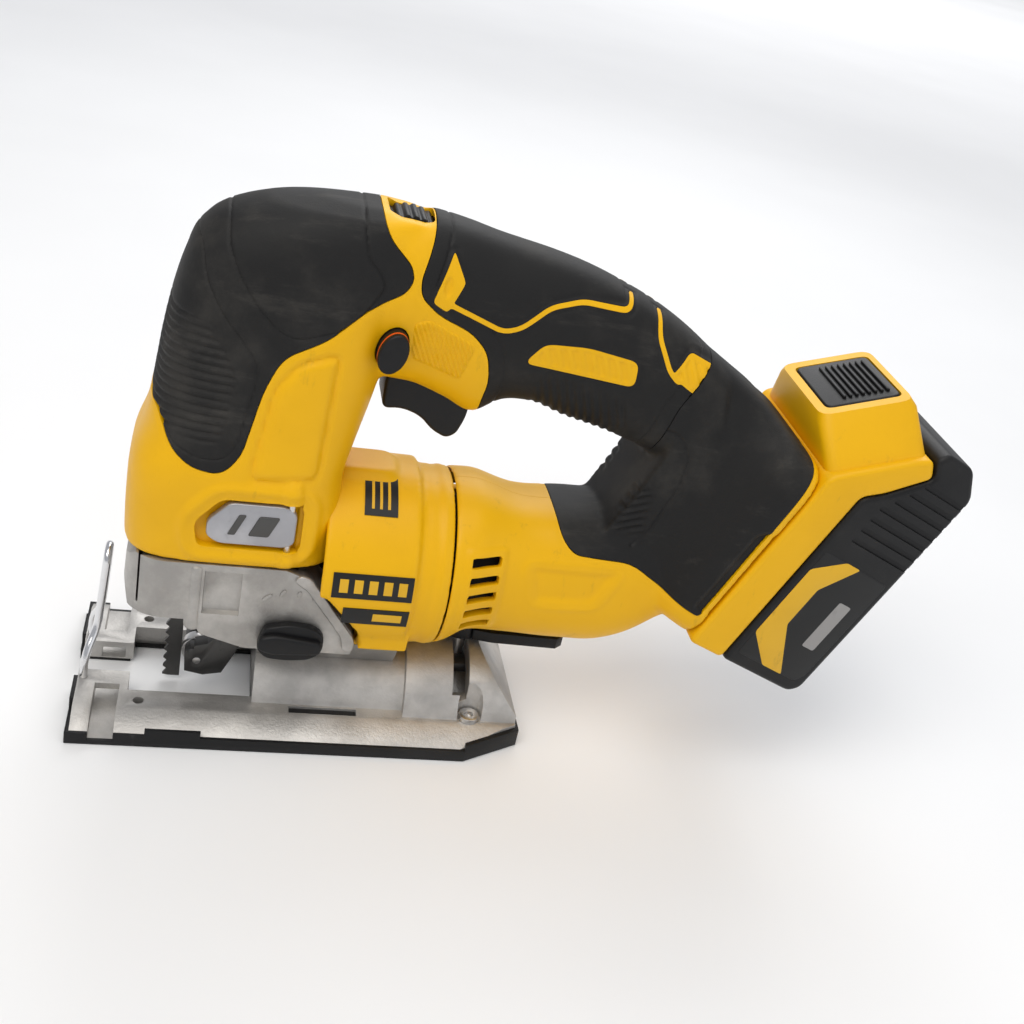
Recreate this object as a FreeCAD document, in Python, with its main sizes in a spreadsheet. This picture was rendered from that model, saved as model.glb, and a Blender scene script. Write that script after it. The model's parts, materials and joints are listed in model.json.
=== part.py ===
import FreeCAD, Part
import math
import os
import Sketcher

# A cordless jigsaw with a D-handle. Millimetres. Every piece is drawn in the tool's own stations:
# x runs rearward from the front edge of the shoe, y is 0 on the middle plane and negative on the
# tool's left, z is height above the sole. One placement then moves the pieces so that the origin is
# at the centre of the sole. The battery pack and the foot it slides on are drawn upright, x being
# the depth and z the length of the pack, and their placement leans them by pack_lean.

doc = FreeCAD.newDocument("Jigsaw")
sheet = doc.addObject("Spreadsheet::Sheet", "Sizes")

SIZES = {
    # shoe
    "shoe_length": 171, "shoe_width": 83, "shoe_top": 9, "cover_thick": 1.2, "cover_lip": 1.5,
    "edge_height": 4.8, "guard_top": 7.6, "rail_flat": 31, "corner_cut": 23, "corner_side": 11.5,
    "throat_front": 20, "throat_rear": 66, "throat_half": 20, "fork_half": 9,
    "fence_x": 8, "fence_width": 9, "fence_low": 1.8, "fence_high": 6.4,
    # bevel joint
    "bevel_z": 4, "saddle_radius": 24, "saddle_wall": 4, "arch_radius": 28, "arch_front": 124,
    "arch_rear": 169.5, "bevel_gap": 0.35, "clamp_x": 146, "clamp_bolt_radius": 3,
    # blade drive
    "blade_x": 35, "blade_thick": 1.4, "blade_wide": 6.5, "blade_tip": 2, "tooth_pitch": 4,
    "stroke": 26, "plunger_radius": 4, "bush_radius": 6.5, "slide_gap": 0.05,
    "clamp_low": 48.7, "clamp_long": 13, "clamp_radius": 6.5,
    # gear train
    "gear_module": 0.8, "gear_teeth": 60, "pinion_teeth": 9, "gear_face": 6, "gear_x": 56,
    "crank_pin_radius": 2.5, "roller_radius": 6, "roller_x": 44.3, "roller_z": 16, "roller_wide": 5,
    # motor
    "motor_z": 68, "shaft_radius": 2.5, "rotor_radius": 13, "stator_radius": 28,
    "stator_x": 101.5, "stator_long": 17.5, "fan_radius": 28.5, "fan_x": 120.5, "fan_long": 8,
    # casings
    "wall": 2.8, "skin": 1.6, "barrel_radius": 37, "barrel_step_radius": 34.5,
    "barrel_front": 84, "barrel_step": 118, "barrel_rear": 131, "tube_radius": 28, "tube_z": 70,
    "cowl_half": 31.5, "cowl_front": 14.5, "gear_case_half": 31, "gear_case_front": 16,
    "handle_half": 18.5, "seam": 0.2,
    # controls
    "trigger_half": 9, "trigger_travel": 6, "control_gap": 0.3, "lock_travel": 4,
    "dial_radius": 14.5, "dial_x": 99, "dial_z": 187, "dial_half": 7,
    # battery pack
    "pack_lean": 23.5, "pack_face": 182.5, "pack_gap": 0.3, "pack_low": 146, "pack_high": 260,
    "pack_half": 38, "latch_half": 17.5, "pack_deep": 56.5, "cap_deep": 17, "cell_radius": 9.1, "cell_long": 65,
    "rail_inner": 22, "rail_stem": 3, "rail_hook": 3, "rail_low": 152, "rail_high": 222,
}
for row, (alias, value) in enumerate(SIZES.items(), start=1):
    sheet.set(f"A{row}", alias)
    sheet.set(f"B{row}", str(value))
    sheet.setAlias(f"B{row}", alias)
doc.recompute()


class Dim:
    """The sheet's cells as plain numbers, for the shapes that are worked out in code."""

    def __getattr__(self, alias):
        return float(sheet.get(alias))


d = Dim()
ORIGIN_X = d.shoe_length / 2
NODES = {}
LEAN = FreeCAD.Rotation(FreeCAD.Vector(0, 1, 0), d.pack_lean)
UPRIGHT = FreeCAD.Placement(FreeCAD.Vector(-ORIGIN_X, 0, 0), FreeCAD.Rotation())
LEANING = FreeCAD.Placement(FreeCAD.Vector(-ORIGIN_X, 0, 0), LEAN)
AXES = {"X": (1, 0, 0), "Y": (0, 1, 0), "Z": (0, 0, 1)}


def vec(x, y, z):
    return FreeCAD.Vector(x, y, z)


def node(name, item, placement=UPRIGHT):
    """Names a sub-part, whether a document object or a bare shape, and puts it in its place."""
    if isinstance(item, Part.Shape):
        obj = doc.addObject("Part::Feature", name)
        obj.Shape = item
    elif item.TypeId == "Part::Cylinder":
        item.Label = name + "_drum"
        obj = doc.addObject("Part::Compound", name + "Seat")
        obj.Links = [item]
    else:
        obj = item
    obj.Label = name
    obj.Placement = placement
    NODES[name] = obj
    return obj


# ---------------------------------------------------------------- parametric document helpers
def sketch(body, plane, outline, start=0):
    """A closed outline of straight edges on one of the body's planes. A corner's number or
    expression is its distance from the origin, held by a named-size constraint."""
    made = body.newObject("Sketcher::SketchObject", body.Name + "Sketch")
    role = {feature.Role: feature for feature in body.Origin.OriginFeatures}[plane + "_Plane"]
    made.AttachmentSupport = (role, [""])
    made.MapMode = "FlatFace"
    if isinstance(start, str):
        made.setExpression("AttachmentOffset.Base.z", start)
    else:
        made.AttachmentOffset.Base = vec(0, 0, start)
    count = len(outline)
    turns = [vec(50 * math.cos(2 * math.pi * i / count), 50 * math.sin(2 * math.pi * i / count), 0)
             for i in range(count)]
    for i in range(count):
        made.addGeometry(Part.LineSegment(turns[i], turns[(i + 1) % count]))
    for i in range(count):
        made.addConstraint(Sketcher.Constraint("Coincident", i, 2, (i + 1) % count, 1))
    for i, corner in enumerate(outline):
        for kind, where in zip(("DistanceX", "DistanceY"), corner):
            bound = isinstance(where, str)
            rule = Sketcher.Constraint(kind, -1, 1, i, 1, 5.0 if bound else float(where))
            index = made.addConstraint(rule)
            if bound:
                made.setExpression(f"Constraints[{index}]", where)
    return made


def slab(name, plane, outline, start, length):
    """A padded outline: along +Z from XY, along +X from YZ, and along -Y from XZ."""
    body = doc.addObject("PartDesign::Body", name)
    profile = sketch(body, plane, outline, start)
    pad = body.newObject("PartDesign::Pad", name + "Pad")
    pad.Profile = profile
    if isinstance(length, str):
        pad.setExpression("Length", length)
    else:
        pad.Length = length
    doc.recompute()
    return body


def drum(name, radius, length, at, axis):
    """A Part::Cylinder from at, along an axis; its sizes are expressions."""
    obj = doc.addObject("Part::Cylinder", name)
    obj.setExpression("Radius", radius)
    obj.setExpression("Height", length)
    turn = {"X": FreeCAD.Rotation(vec(0, 1, 0), 90), "Y": FreeCAD.Rotation(vec(1, 0, 0), -90),
            "Z": FreeCAD.Rotation()}[axis]
    obj.Placement = FreeCAD.Placement(vec(0, 0, 0), turn)
    for letter, where in zip("xyz", at):
        obj.setExpression("Placement.Base." + letter, str(where))
    return obj


def joined(kind, name, base, tools):
    """A Part::Cut or Part::MultiFuse of document objects."""
    if kind == "cut":
        whole = doc.addObject("Part::Cut", name)
        whole.Base = base
        whole.Tool = tools[0] if len(tools) == 1 else joined("fuse", name + "Tools", tools[0], tools[1:])
    else:
        whole = doc.addObject("Part::MultiFuse", name)
        whole.Shapes = [base] + list(tools)
    doc.recompute()
    return whole


def free(obj):
    """A copy of a finished object's shape, for use as a tool on another piece."""
    return obj.Shape.copy()


# ---------------------------------------------------------------- shape helpers
def cylinder(radius, length, at, axis):
    return Part.makeCylinder(radius, length, vec(*at), vec(*AXES[axis]))


def tube(outer, inner, length, at, axis):
    return cylinder(outer, length, at, axis).cut(cylinder(inner, length, at, axis))


def block(x, y, z):
    """A box between pairs of limits."""
    return Part.makeBox(x[1] - x[0], y[1] - y[0], z[1] - z[0], vec(x[0], y[0], z[0]))


def plate(outline, y_low, y_high):
    """A side outline (x, z) made solid between two y values."""
    corners = [vec(x, y_low, z) for x, z in outline]
    face = Part.Face(Part.makePolygon(corners + corners[:1]))
    return face.extrude(vec(0, y_high - y_low, 0))


def deck(outline, z_low, z_high):
    """A plan outline (x, y) made solid between two heights."""
    corners = [vec(x, y, z_low) for x, y in outline]
    face = Part.Face(Part.makePolygon(corners + corners[:1]))
    return face.extrude(vec(0, 0, z_high - z_low))


def ring_section(place, half_u, half_v, corner):
    """A rounded rectangle of four lines and four arcs; place(u, v) gives each point."""
    r = min(corner, half_u - 0.5, half_v - 0.5)
    bulge = r * (1 - math.sqrt(0.5))
    edges = []
    for su, sv in ((1, -1), (1, 1), (-1, 1), (-1, -1)):
        along_u = (su * (half_u - r), sv * half_v)
        along_v = (su * half_u, sv * (half_v - r))
        middle = (su * (half_u - bulge), sv * (half_v - bulge))
        first, last = (along_u, along_v) if su * sv < 0 else (along_v, along_u)
        edges.append((first, middle, last))
    wire = []
    for i, (first, middle, last) in enumerate(edges):
        wire.append(Part.Arc(place(*first), place(*middle), place(*last)).toShape())
        wire.append(Part.LineSegment(place(*last), place(*edges[(i + 1) % 4][0])).toShape())
    return Part.Wire(wire)


def loft_x(sections, inset=0):
    """Sections (x, z low, z high, half width, corner) joined along x, each smaller by inset."""
    wires = []
    for x, low, high, half, corner in sections:
        middle = (low + high) / 2
        place = lambda u, v, x=x, middle=middle: vec(x, u, middle + v)
        wires.append(ring_section(place, half - inset, (high - low) / 2 - inset,
                                  max(corner - inset, 1)))
    return Part.makeLoft(wires, True, True)


def loft_z(sections, inset=0):
    """Sections (z, x front, x rear, half width, corner) joined upward, each smaller by inset."""
    wires = []
    for z, front, rear, half, corner in sections:
        middle = (front + rear) / 2
        place = lambda u, v, z=z, middle=middle: vec(middle + u, v, z)
        wires.append(ring_section(place, (rear - front) / 2 - inset, half - inset,
                                  max(corner - inset, 1)))
    return Part.makeLoft(wires, True, True)


def fused(shapes):
    return shapes[0].multiFuse(shapes[1:]).removeSplitter()


def leaned(shape):
    """A shape of the upright pack frame, turned into the tool's stations."""
    turned = shape.copy()
    turned.rotate(vec(0, 0, 0), vec(0, 1, 0), d.pack_lean)
    return turned


# ---------------------------------------------------------------- shoe
half_width = d.shoe_width / 2


def shoe_plan(inset):
    """The shoe's outline from above, with its two rear corners cut off."""
    rear = d.shoe_length - inset
    side = half_width - inset
    corner = [(rear - d.corner_cut, side), (rear, side - d.corner_side)]
    mirrored = [(x, -y) for x, y in reversed(corner)]
    return [(inset, -side), (inset, side)] + corner + mirrored


def rail_profile(inset):
    """Cross-section of the plate: a flat top that slopes down to its two long edges."""
    side = half_width - inset
    return [(-side, 0), (side, 0), (side, d.edge_height), (d.rail_flat, d.shoe_top),
            (-d.rail_flat, d.shoe_top), (-side, d.edge_height)]


def make_shoe():
    """The cast shoe: two rails, the throat for the blade, a half-round saddle and a rear arch."""
    corners = [vec(0, y, z) for y, z in rail_profile(d.cover_lip)]
    bar = Part.Face(Part.makePolygon(corners + corners[:1])).extrude(vec(d.shoe_length, 0, 0))
    plan = deck(shoe_plan(d.cover_lip), d.cover_thick, d.shoe_top)
    throat = block((d.throat_front, d.throat_rear), (-d.throat_half, d.throat_half), (0, d.shoe_top))
    fork = block((0, d.throat_front), (-d.fork_half, d.fork_half), (0, d.shoe_top))
    casting = bar.common(plan).cut(throat).cut(fork)
    axis = (d.throat_rear, 0, d.bevel_z)
    long_saddle = d.arch_rear - d.throat_rear
    saddle = cylinder(d.saddle_radius, d.arch_front - d.throat_rear, axis, "X")
    arch = cylinder(d.arch_radius, d.arch_rear - d.arch_front, (d.arch_front, 0, d.bevel_z), "X")
    above = block((0, d.shoe_length), (-half_width, half_width), (d.cover_thick, 60))
    round_top = saddle.fuse(arch).common(above)
    slope = plate([(153, 40), (153, 32.2), (171, 10), (190, 10), (190, 40)], -40, 40)
    hollow = cylinder(d.saddle_radius - d.saddle_wall, long_saddle - 7, (axis[0] - 1, 0, axis[2]), "X")
    hollow = hollow.cut(plate([(155, 40), (155, 24), (167, 8), (190, 8), (190, 40)], -40, 40))
    hollow = hollow.common(block((0, 200), (-30, 30), (3.2, 60)))
    casting = casting.fuse(round_top.cut(slope)).cut(hollow)
    half_slot = d.clamp_bolt_radius + d.control_gap
    slot = block((d.clamp_x - half_slot, d.clamp_x + half_slot), (-24, 24), (d.bevel_z + 10.5, 60))
    casting = casting.cut(slot)
    for side in (-1, 1):
        low, high = sorted((side * d.fork_half, side * half_width))
        channel = block((d.fence_x, d.fence_x + d.fence_width), (low, high), (d.fence_low, d.fence_high))
        low, high = sorted((side * 17, side * 38))
        window = block((d.fence_x, d.fence_x + d.fence_width), (low, high), (d.fence_low, 20))
        foot_hole = cylinder(1.55, 8, (3.5, side * 13.5, 3), "Z")
        screw_hole = cylinder(2.1, 12, (150.5, side * 26, 2), "Z").fuse(
            cylinder(5, 20, (150.5, side * 26, d.shoe_top), "Z"))
        guide_hole = cylinder(2.0, 12, (24.5, side * 26, -1), "Z")
        recess = block((80, 106), *sorted_pairs((side * 24.6, side * 28.5), (d.shoe_top - 2, 20)))
        casting = casting.cut(fused([channel, window])).cut(foot_hole).cut(screw_hole)
        casting = casting.cut(guide_hole).cut(recess)
    return casting.removeSplitter()


def sorted_pairs(first, second):
    return tuple(sorted(first)), tuple(sorted(second))


def make_sole_cover():
    """The black cover clipped under the shoe: a thin plate, a lip all round and two front caps."""
    tray = deck(shoe_plan(0), 0, d.edge_height)
    inner = deck(shoe_plan(d.cover_lip), d.cover_thick, d.edge_height + 1)
    cover = tray.cut(inner)
    cover = cover.cut(block((-1, d.throat_front), (-d.fork_half, d.fork_half), (-1, 20)))
    throat = d.throat_half - 1.5
    cover = cover.cut(block((d.throat_front - 1, d.throat_rear), (-throat, throat), (-1, 20)))
    heel = deck(shoe_plan(0), d.edge_height, d.guard_top).cut(deck(shoe_plan(d.cover_lip), 0, 20))
    cover = cover.fuse(heel.common(block((148, 180), (-50, 50), (0, 20))))
    for side in (-1, 1):
        cap = block((0, d.cover_lip), *sorted_pairs((side * 13, side * 27), (d.edge_height, d.shoe_top)))
        cover = cover.fuse(cap)
        outer, inner = side * half_width, side * (half_width - d.cover_lip)
        bump = block((28, 48), *sorted_pairs((outer, inner), (d.edge_height, d.guard_top)))
        cover = cover.fuse(bump)
        hole = cylinder(2.0, 6, (24.5, side * 26, -1), "Z")
        low, high = sorted_pairs((side * (half_width - 3), side * (half_width + 1)), (d.fence_low, 20))
        gate = block((d.fence_x, d.fence_x + d.fence_width), low, high)
        cover = cover.cut(hole).cut(gate)
    return cover.removeSplitter()


def wire_path(points, radius):
    """A round wire along straight runs joined by tangent arcs."""
    edges, here = [], points[0]
    for before, corner, after in zip(points, points[1:], points[2:]):
        back, ahead = (before - corner).normalize(), (after - corner).normalize()
        half_turn = (math.pi - back.getAngle(ahead)) / 2
        reach = min((before - corner).Length, (after - corner).Length) * 0.45
        bend = reach / math.tan(half_turn)
        enter, leave = corner + back * reach, corner + ahead * reach
        middle = corner + (back + ahead).normalize() * (bend / math.cos(half_turn) - bend)
        edges.append(Part.LineSegment(here, enter).toShape())
        edges.append(Part.Arc(enter, middle, leave).toShape())
        here = leave
    edges.append(Part.LineSegment(here, points[-1]).toShape())
    path = Part.Wire(edges)
    ring = Part.Wire(Part.Circle(points[0], edges[0].tangentAt(edges[0].FirstParameter), radius).toShape())
    return path.makePipeShell([ring], True, False)


def make_wire_guard():
    """The chromed finger guard: two feet in the prongs and a hairpin standing before the blade."""
    left = [vec(3.5, -13.5, 3.4), vec(3.5, -13.5, 18), vec(7, -6, 27), vec(9.3, -4.6, 59)]
    right = [vec(p.x, -p.y, p.z) for p in reversed(left)]
    return wire_path(left + right, 1.5)


def make_shoe_screw(side):
    shank = cylinder(2.0, 8, (150.5, side * 26, 2.5), "Z")
    head = cylinder(4.0, 2.2, (150.5, side * 26, d.shoe_top), "Z")
    socket = cylinder(1.6, 2, (150.5, side * 26, d.shoe_top + 0.8), "Z")
    return shank.fuse(head).cut(socket).removeSplitter()


node("shoe_casting", make_shoe())
node("sole_cover", make_sole_cover())
node("wire_guard", make_wire_guard())
node("shoe_screws", Part.makeCompound([make_shoe_screw(-1), make_shoe_screw(1)]))

# ---------------------------------------------------------------- gear case
gear_z = d.motor_z + d.gear_module * (d.gear_teeth + d.pinion_teeth) / 2
gear_tip = d.gear_module * (d.gear_teeth + 2) / 2
crank_radius = d.stroke / 2
crank_z = gear_z + crank_radius
saddle_clear = d.saddle_radius + d.bevel_gap


def make_gear_case():
    """The aluminium nose: it carries the plunger's lower bush and sits on the saddle of the shoe."""
    side = [(18, 51), (41, 51), (44, 45), (60, 40), (99, 40), (100, 45), (98, 50), (92, 58),
            (85, 66), (79, 72), (72, 74.8), (20, 74.8), (16.5, 71), (16, 60)]
    case = plate(side, -d.gear_case_half, d.gear_case_half)
    nose = loft_z([(30, d.gear_case_front, 130, d.gear_case_half, 15),
                   (90, d.gear_case_front, 130, d.gear_case_half, 15)])
    case = case.common(nose)
    inner = [(21, 55), (42, 55), (46, 49), (62, 44), (94, 44), (86, 60), (78, 70), (72, 80), (21, 80)]
    hollow = plate(inner, -d.gear_case_half + 3.2, d.gear_case_half - 3.2)
    case = case.cut(hollow)
    lug_side = [(56, 40.5), (65, 40.5), (63, 33), (57, 33)]
    for side in (-1, 1):
        low, high = sorted((side * 9.4, side * 13))
        case = case.fuse(plate(lug_side, low, high))
        pocket_low, pocket_high = sorted((side * (d.gear_case_half - 3), side * 40))
        case = case.cut(block((44, 57), (pocket_low, pocket_high), (54, 72)).cut(hollow))
    seat = plate([(66, 24), (119, 24), (119, 40.5), (66, 40.5)], -23, 23)
    wedge = [vec(66, y, z) for y, z in ((-12.4, 24), (12.4, 24), (23, 42), (-23, 42))]
    wedge = Part.Face(Part.makePolygon(wedge + wedge[:1])).extrude(vec(53, 0, 0))
    seat = seat.common(wedge).cut(cylinder(saddle_clear, 80, (60, 0, d.bevel_z), "X"))
    seat = seat.cut(cylinder(d.barrel_radius + d.seam, 30, (100.7, 0, d.motor_z), "X"))
    case = case.fuse(seat)
    post = cylinder(d.bush_radius + 3, 14, (d.blade_x, 0, 51), "Z").fuse(
        block((25, 45), (-29, 29), (61.7, 73)))
    case = case.fuse(post.common(loft_z([(50, d.gear_case_front + 2, 130, d.gear_case_half - 2, 13),
                                         (90, d.gear_case_front + 2, 130, d.gear_case_half - 2, 13)])))
    case = case.cut(cylinder(d.bush_radius, 40, (d.blade_x, 0, 61.7), "Z"))
    case = case.cut(cylinder(d.clamp_radius + 1, 20, (d.blade_x, 0, 45), "Z"))
    case = case.cut(cylinder(1.5, 40, (60, -20, 36.5), "Y"))
    case = case.cut(cylinder(4.05, 12, (75, -d.gear_case_half - 1, 47), "Y"))
    case = case.cut(cylinder(3, 10, (24, 0, 48), "Z"))
    case = case.cut(cylinder(12, 30, (66, 0, d.motor_z), "X"))
    return case.removeSplitter()


node("gear_case", make_gear_case())


def make_gear_frame():
    """The upright inside the nose: it holds the gear's shaft, the motor's front bearing and the
    plunger's upper bush."""
    web = block((66.5, 70.5), (-24, 24), (58, 124)).fuse(block((66.5, 70.5), (-27.7, 27.7), (58, 73)))
    arm = block((27, 70.5), (-9, 9), (126, 132))
    brace = block((66.5, 70.5), (-9, 9), (120, 130))
    ring = cylinder(d.bush_radius + 3, 8, (d.blade_x, 0, 125), "Z")
    hub = cylinder(9, 4, (66.5, 0, gear_z), "X")
    seat = cylinder(10.5, 8, (66.5, 0, d.motor_z), "X")
    frame = fused([web, arm, brace, ring, hub, seat])
    frame = frame.cut(cylinder(d.bush_radius, 40, (d.blade_x, 0, 120), "Z"))
    frame = frame.cut(cylinder(6.5, 20, (60, 0, gear_z), "X"))
    frame = frame.cut(cylinder(8.0, 20, (60, 0, d.motor_z), "X"))
    return frame.removeSplitter()


node("gear_frame", make_gear_frame())

# Bushes, bearings and shafts are turned pieces.
bush_bore = "Sizes.plunger_radius + Sizes.slide_gap"


def ring_node(name, outer, inner, length, at, axis):
    """A ring as a Part::Cut of two cylinders."""
    whole = drum(name + "Body", outer, length, at, axis)
    hole = drum(name + "Bore", inner, length, at, axis)
    return node(name, joined("cut", name, whole, [hole]))


ring_node("lower_plunger_bush", "Sizes.bush_radius", bush_bore, "11.3", ("Sizes.blade_x", 0, 61.7), "Z")
ring_node("upper_plunger_bush", "Sizes.bush_radius", bush_bore, "8", ("Sizes.blade_x", 0, 125), "Z")
ring_node("gear_bearing", "6.5", "4 + Sizes.slide_gap", "4", (66.5, 0, gear_z), "X")
ring_node("front_motor_bearing", "8", "Sizes.shaft_radius + Sizes.slide_gap", "5",
          (69, 0, "Sizes.motor_z"), "X")
ring_node("rear_motor_bearing", "6", "Sizes.shaft_radius + Sizes.slide_gap", "4.5",
          (131.5, 0, "Sizes.motor_z"), "X")

# ---------------------------------------------------------------- plunger and blade
rod_top = 160


def make_plunger():
    """The reciprocating rod with its yoke: the slot is taller than the crank pin by the difference
    between the pin's circle and the even travel that the joint gives."""
    rod = cylinder(d.plunger_radius, rod_top - d.clamp_low - d.clamp_long,
                   (d.blade_x, 0, d.clamp_low + d.clamp_long), "Z")
    yoke = block((d.blade_x - 5, 48), (-20, 20), (crank_z - 8.4, crank_z + 8.4))
    slot = block((40.5, 60), (-crank_radius - 3.4, crank_radius + 3.4), (crank_z - 5.8, crank_z + 5.8))
    return rod.fuse(yoke).cut(slot).removeSplitter()


def make_blade_clamp():
    """The tool-less clamp at the foot of the plunger, slotted for the blade's shank."""
    clamp = cylinder(d.clamp_radius, d.clamp_long, (d.blade_x, 0, d.clamp_low), "Z")
    flat = block((20, 50), (-5, 5), (40, 80))
    shank = block((d.blade_x - 3.3, d.blade_x + 3.3), (-0.8, 0.8), (d.clamp_low - 1, d.clamp_low + 11))
    return clamp.common(flat).cut(shank).removeSplitter()


def make_blade():
    """The saw blade: straight back, teeth cut along the front edge."""
    half = d.blade_wide / 2
    back, front = d.blade_x + half, d.blade_x - half
    count = int((d.clamp_low - 8 - d.blade_tip) / d.tooth_pitch)
    outline = [(d.blade_x + 2.6, d.clamp_low + 10.5), (d.blade_x + 2.6, d.clamp_low + 0.5),
               (back, d.clamp_low - 2), (back, d.blade_tip), (front + 2, d.blade_tip)]
    for i in range(count):
        foot = d.blade_tip + i * d.tooth_pitch
        outline += [(front, foot + 0.4), (front + 1.6, foot + d.tooth_pitch * 0.75)]
    outline += [(front, d.blade_tip + count * d.tooth_pitch + 1), (front, d.clamp_low - 2),
                (d.blade_x - 2.6, d.clamp_low + 0.5), (d.blade_x - 2.6, d.clamp_low + 10.5)]
    return plate(outline, -d.blade_thick / 2, d.blade_thick / 2)


node("plunger", make_plunger())
node("blade_clamp", make_blade_clamp())
node("saw_blade", make_blade())


# ---------------------------------------------------------------- gears and crank
def gear_shape(teeth, at_x, at_z, bore, phase):
    """A spur gear with straight-sided teeth about an x axis; phase is in tooth pitches."""
    pitch_radius = d.gear_module * teeth / 2
    root, tip = pitch_radius - d.gear_module * 1.25, pitch_radius + d.gear_module * 0.9
    corners = []
    for i in range(teeth):
        for share, radius in ((-0.36, root), (-0.13, tip), (0.13, tip), (0.36, root)):
            angle = 2 * math.pi * (i + phase + share) / teeth
            corners.append(vec(at_x, radius * math.sin(angle), at_z + radius * math.cos(angle)))
    face = Part.Face(Part.makePolygon(corners + corners[:1]))
    wheel = face.extrude(vec(d.gear_face, 0, 0))
    return wheel.cut(cylinder(bore, d.gear_face + 2, (at_x - 1, 0, at_z), "X"))


def make_drive_gear():
    wheel = gear_shape(int(d.gear_teeth), d.gear_x, gear_z, 4, 0.5)
    dish = tube(20.5, 9, 1.6, (d.gear_x + d.gear_face - 1.6, 0, gear_z), "X")
    seat = cylinder(d.crank_pin_radius, 20, (d.gear_x - 1, 0, crank_z), "X")
    return wheel.cut(dish).cut(seat)


def make_counterweight():
    """A half disc behind the gear, opposite the crank pin."""
    disc = cylinder(19, 3, (d.gear_x + d.gear_face, 0, gear_z), "X")
    lower = block((50, 70), (-30, 30), (gear_z - 30, gear_z - 7))
    return disc.common(lower)


node("drive_gear", make_drive_gear())
node("counterweight", make_counterweight())
node("gear_shaft", drum("gear_shaft", "4", "15", (d.gear_x - 0.5, 0, gear_z), "X"))
node("crank_pin", drum("crank_pin", "Sizes.crank_pin_radius", "Sizes.gear_x + Sizes.gear_face - 41.5",
                       (41.5, 0, crank_z), "X"))

# ---------------------------------------------------------------- motor
pinion_phase = 0.0
node("pinion", gear_shape(int(d.pinion_teeth), d.gear_x - 0.5, d.motor_z, d.shaft_radius, pinion_phase))
node("rotor_shaft", drum("rotor_shaft", "Sizes.shaft_radius", "82", (54.5, 0, "Sizes.motor_z"), "X"))
rotor_body = drum("rotor_body", "Sizes.rotor_radius", "Sizes.stator_long - 2",
                  ("Sizes.stator_x + 1", 0, "Sizes.motor_z"), "X")
rotor_bore = drum("rotor_bore", "Sizes.shaft_radius", "Sizes.stator_long - 2",
                  ("Sizes.stator_x + 1", 0, "Sizes.motor_z"), "X")
node("rotor_core", joined("cut", "rotor_core", rotor_body, [rotor_bore]))


def make_stator():
    """Laminated ring with six wound poles."""
    start = d.stator_x
    ring = tube(d.stator_radius, d.stator_radius - 5, d.stator_long, (start, 0, d.motor_z), "X")
    pieces = [ring]
    for i in range(6):
        pole = block((start, start + d.stator_long), (-4.5, 4.5),
                     (d.motor_z + d.rotor_radius + 0.6, d.motor_z + d.stator_radius - 4))
        coil = block((start + 3, start + d.stator_long - 3), (-5.2, 5.2),
                     (d.motor_z + d.rotor_radius + 3, d.motor_z + d.stator_radius - 4.5))
        for piece in (pole, coil):
            piece.rotate(vec(start, 0, d.motor_z), vec(1, 0, 0), 60 * i)
            pieces.append(piece)
    return fused(pieces)


def make_fan():
    """A radial cooling fan on the motor's rear shaft."""
    x = d.fan_x
    hub = cylinder(7, d.fan_long, (x, 0, d.motor_z), "X")
    back = cylinder(d.fan_radius, 1.6, (x, 0, d.motor_z), "X")
    pieces = [hub, back]
    for i in range(11):
        vane = block((x + 1, x + d.fan_long), (-0.6, 0.6), (d.motor_z + 6, d.motor_z + d.fan_radius - 1))
        vane.rotate(vec(x, 0, d.motor_z), vec(1, 0, 0), 360 / 11 * i)
        pieces.append(vane)
    return fused(pieces).cut(cylinder(d.shaft_radius, 20, (x - 1, 0, d.motor_z), "X"))


node("stator", make_stator())
node("fan", make_fan())


def barrel_shape(inset):
    """The motor barrel: a large drum that steps down behind."""
    step = cylinder(d.barrel_radius - inset, d.barrel_step - d.barrel_front,
                    (d.barrel_front, 0, d.motor_z), "X")
    rear = cylinder(d.barrel_step_radius - inset, d.barrel_rear - d.barrel_step,
                    (d.barrel_step, 0, d.motor_z), "X")
    return step.fuse(rear)


def fairing_shape(gap):
    """The low ridge that leads the column's back edge on to the barrel, grown by gap."""
    front = d.barrel_front + d.seam - gap
    return loft_z([(90, front, 118 + 2 * gap, 17 + gap, 7), (102, front, 114 + 2 * gap, 13 + gap, 7),
                   (106.6 + gap, front, 108 + 2 * gap, 8 + gap, 5)])


def make_motor_housing():
    """The yellow barrel between the two seams, with its flat skirts and the ribs round the stator."""
    skirt_half = d.gear_case_half
    skirt = [(101, 42.2), (120, 42.2), (120, 70), (d.barrel_front, 70), (87, 67.5), (94, 59.5),
             (100.4, 51), (102.6, 45)]
    shell = fused([barrel_shape(0), plate(skirt, -skirt_half, skirt_half), fairing_shape(0)])
    shell = shell.cut(barrel_shape(d.wall))
    lower = plate([(d.barrel_front - 1, 30), (d.barrel_front - 1, 68), (87, 67.5), (94, 59.5),
                   (100.4, 51), (101, 42), (101, 25), (80, 25)], -60, 60)
    shell = shell.cut(lower)
    ribs = []
    for i in range(6):
        rib = block((d.stator_x, d.stator_x + d.stator_long), (-1.5, 1.5),
                    (d.motor_z + d.stator_radius + 0.02, d.motor_z + d.barrel_radius - 1))
        rib.rotate(vec(0, 0, d.motor_z), vec(1, 0, 0), 60 * i + 30)
        ribs.append(rib)
    shell = shell.fuse(fused(ribs).common(barrel_shape(0)).cut(lower))
    return shell.removeSplitter()


node("motor_housing", make_motor_housing())


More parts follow.
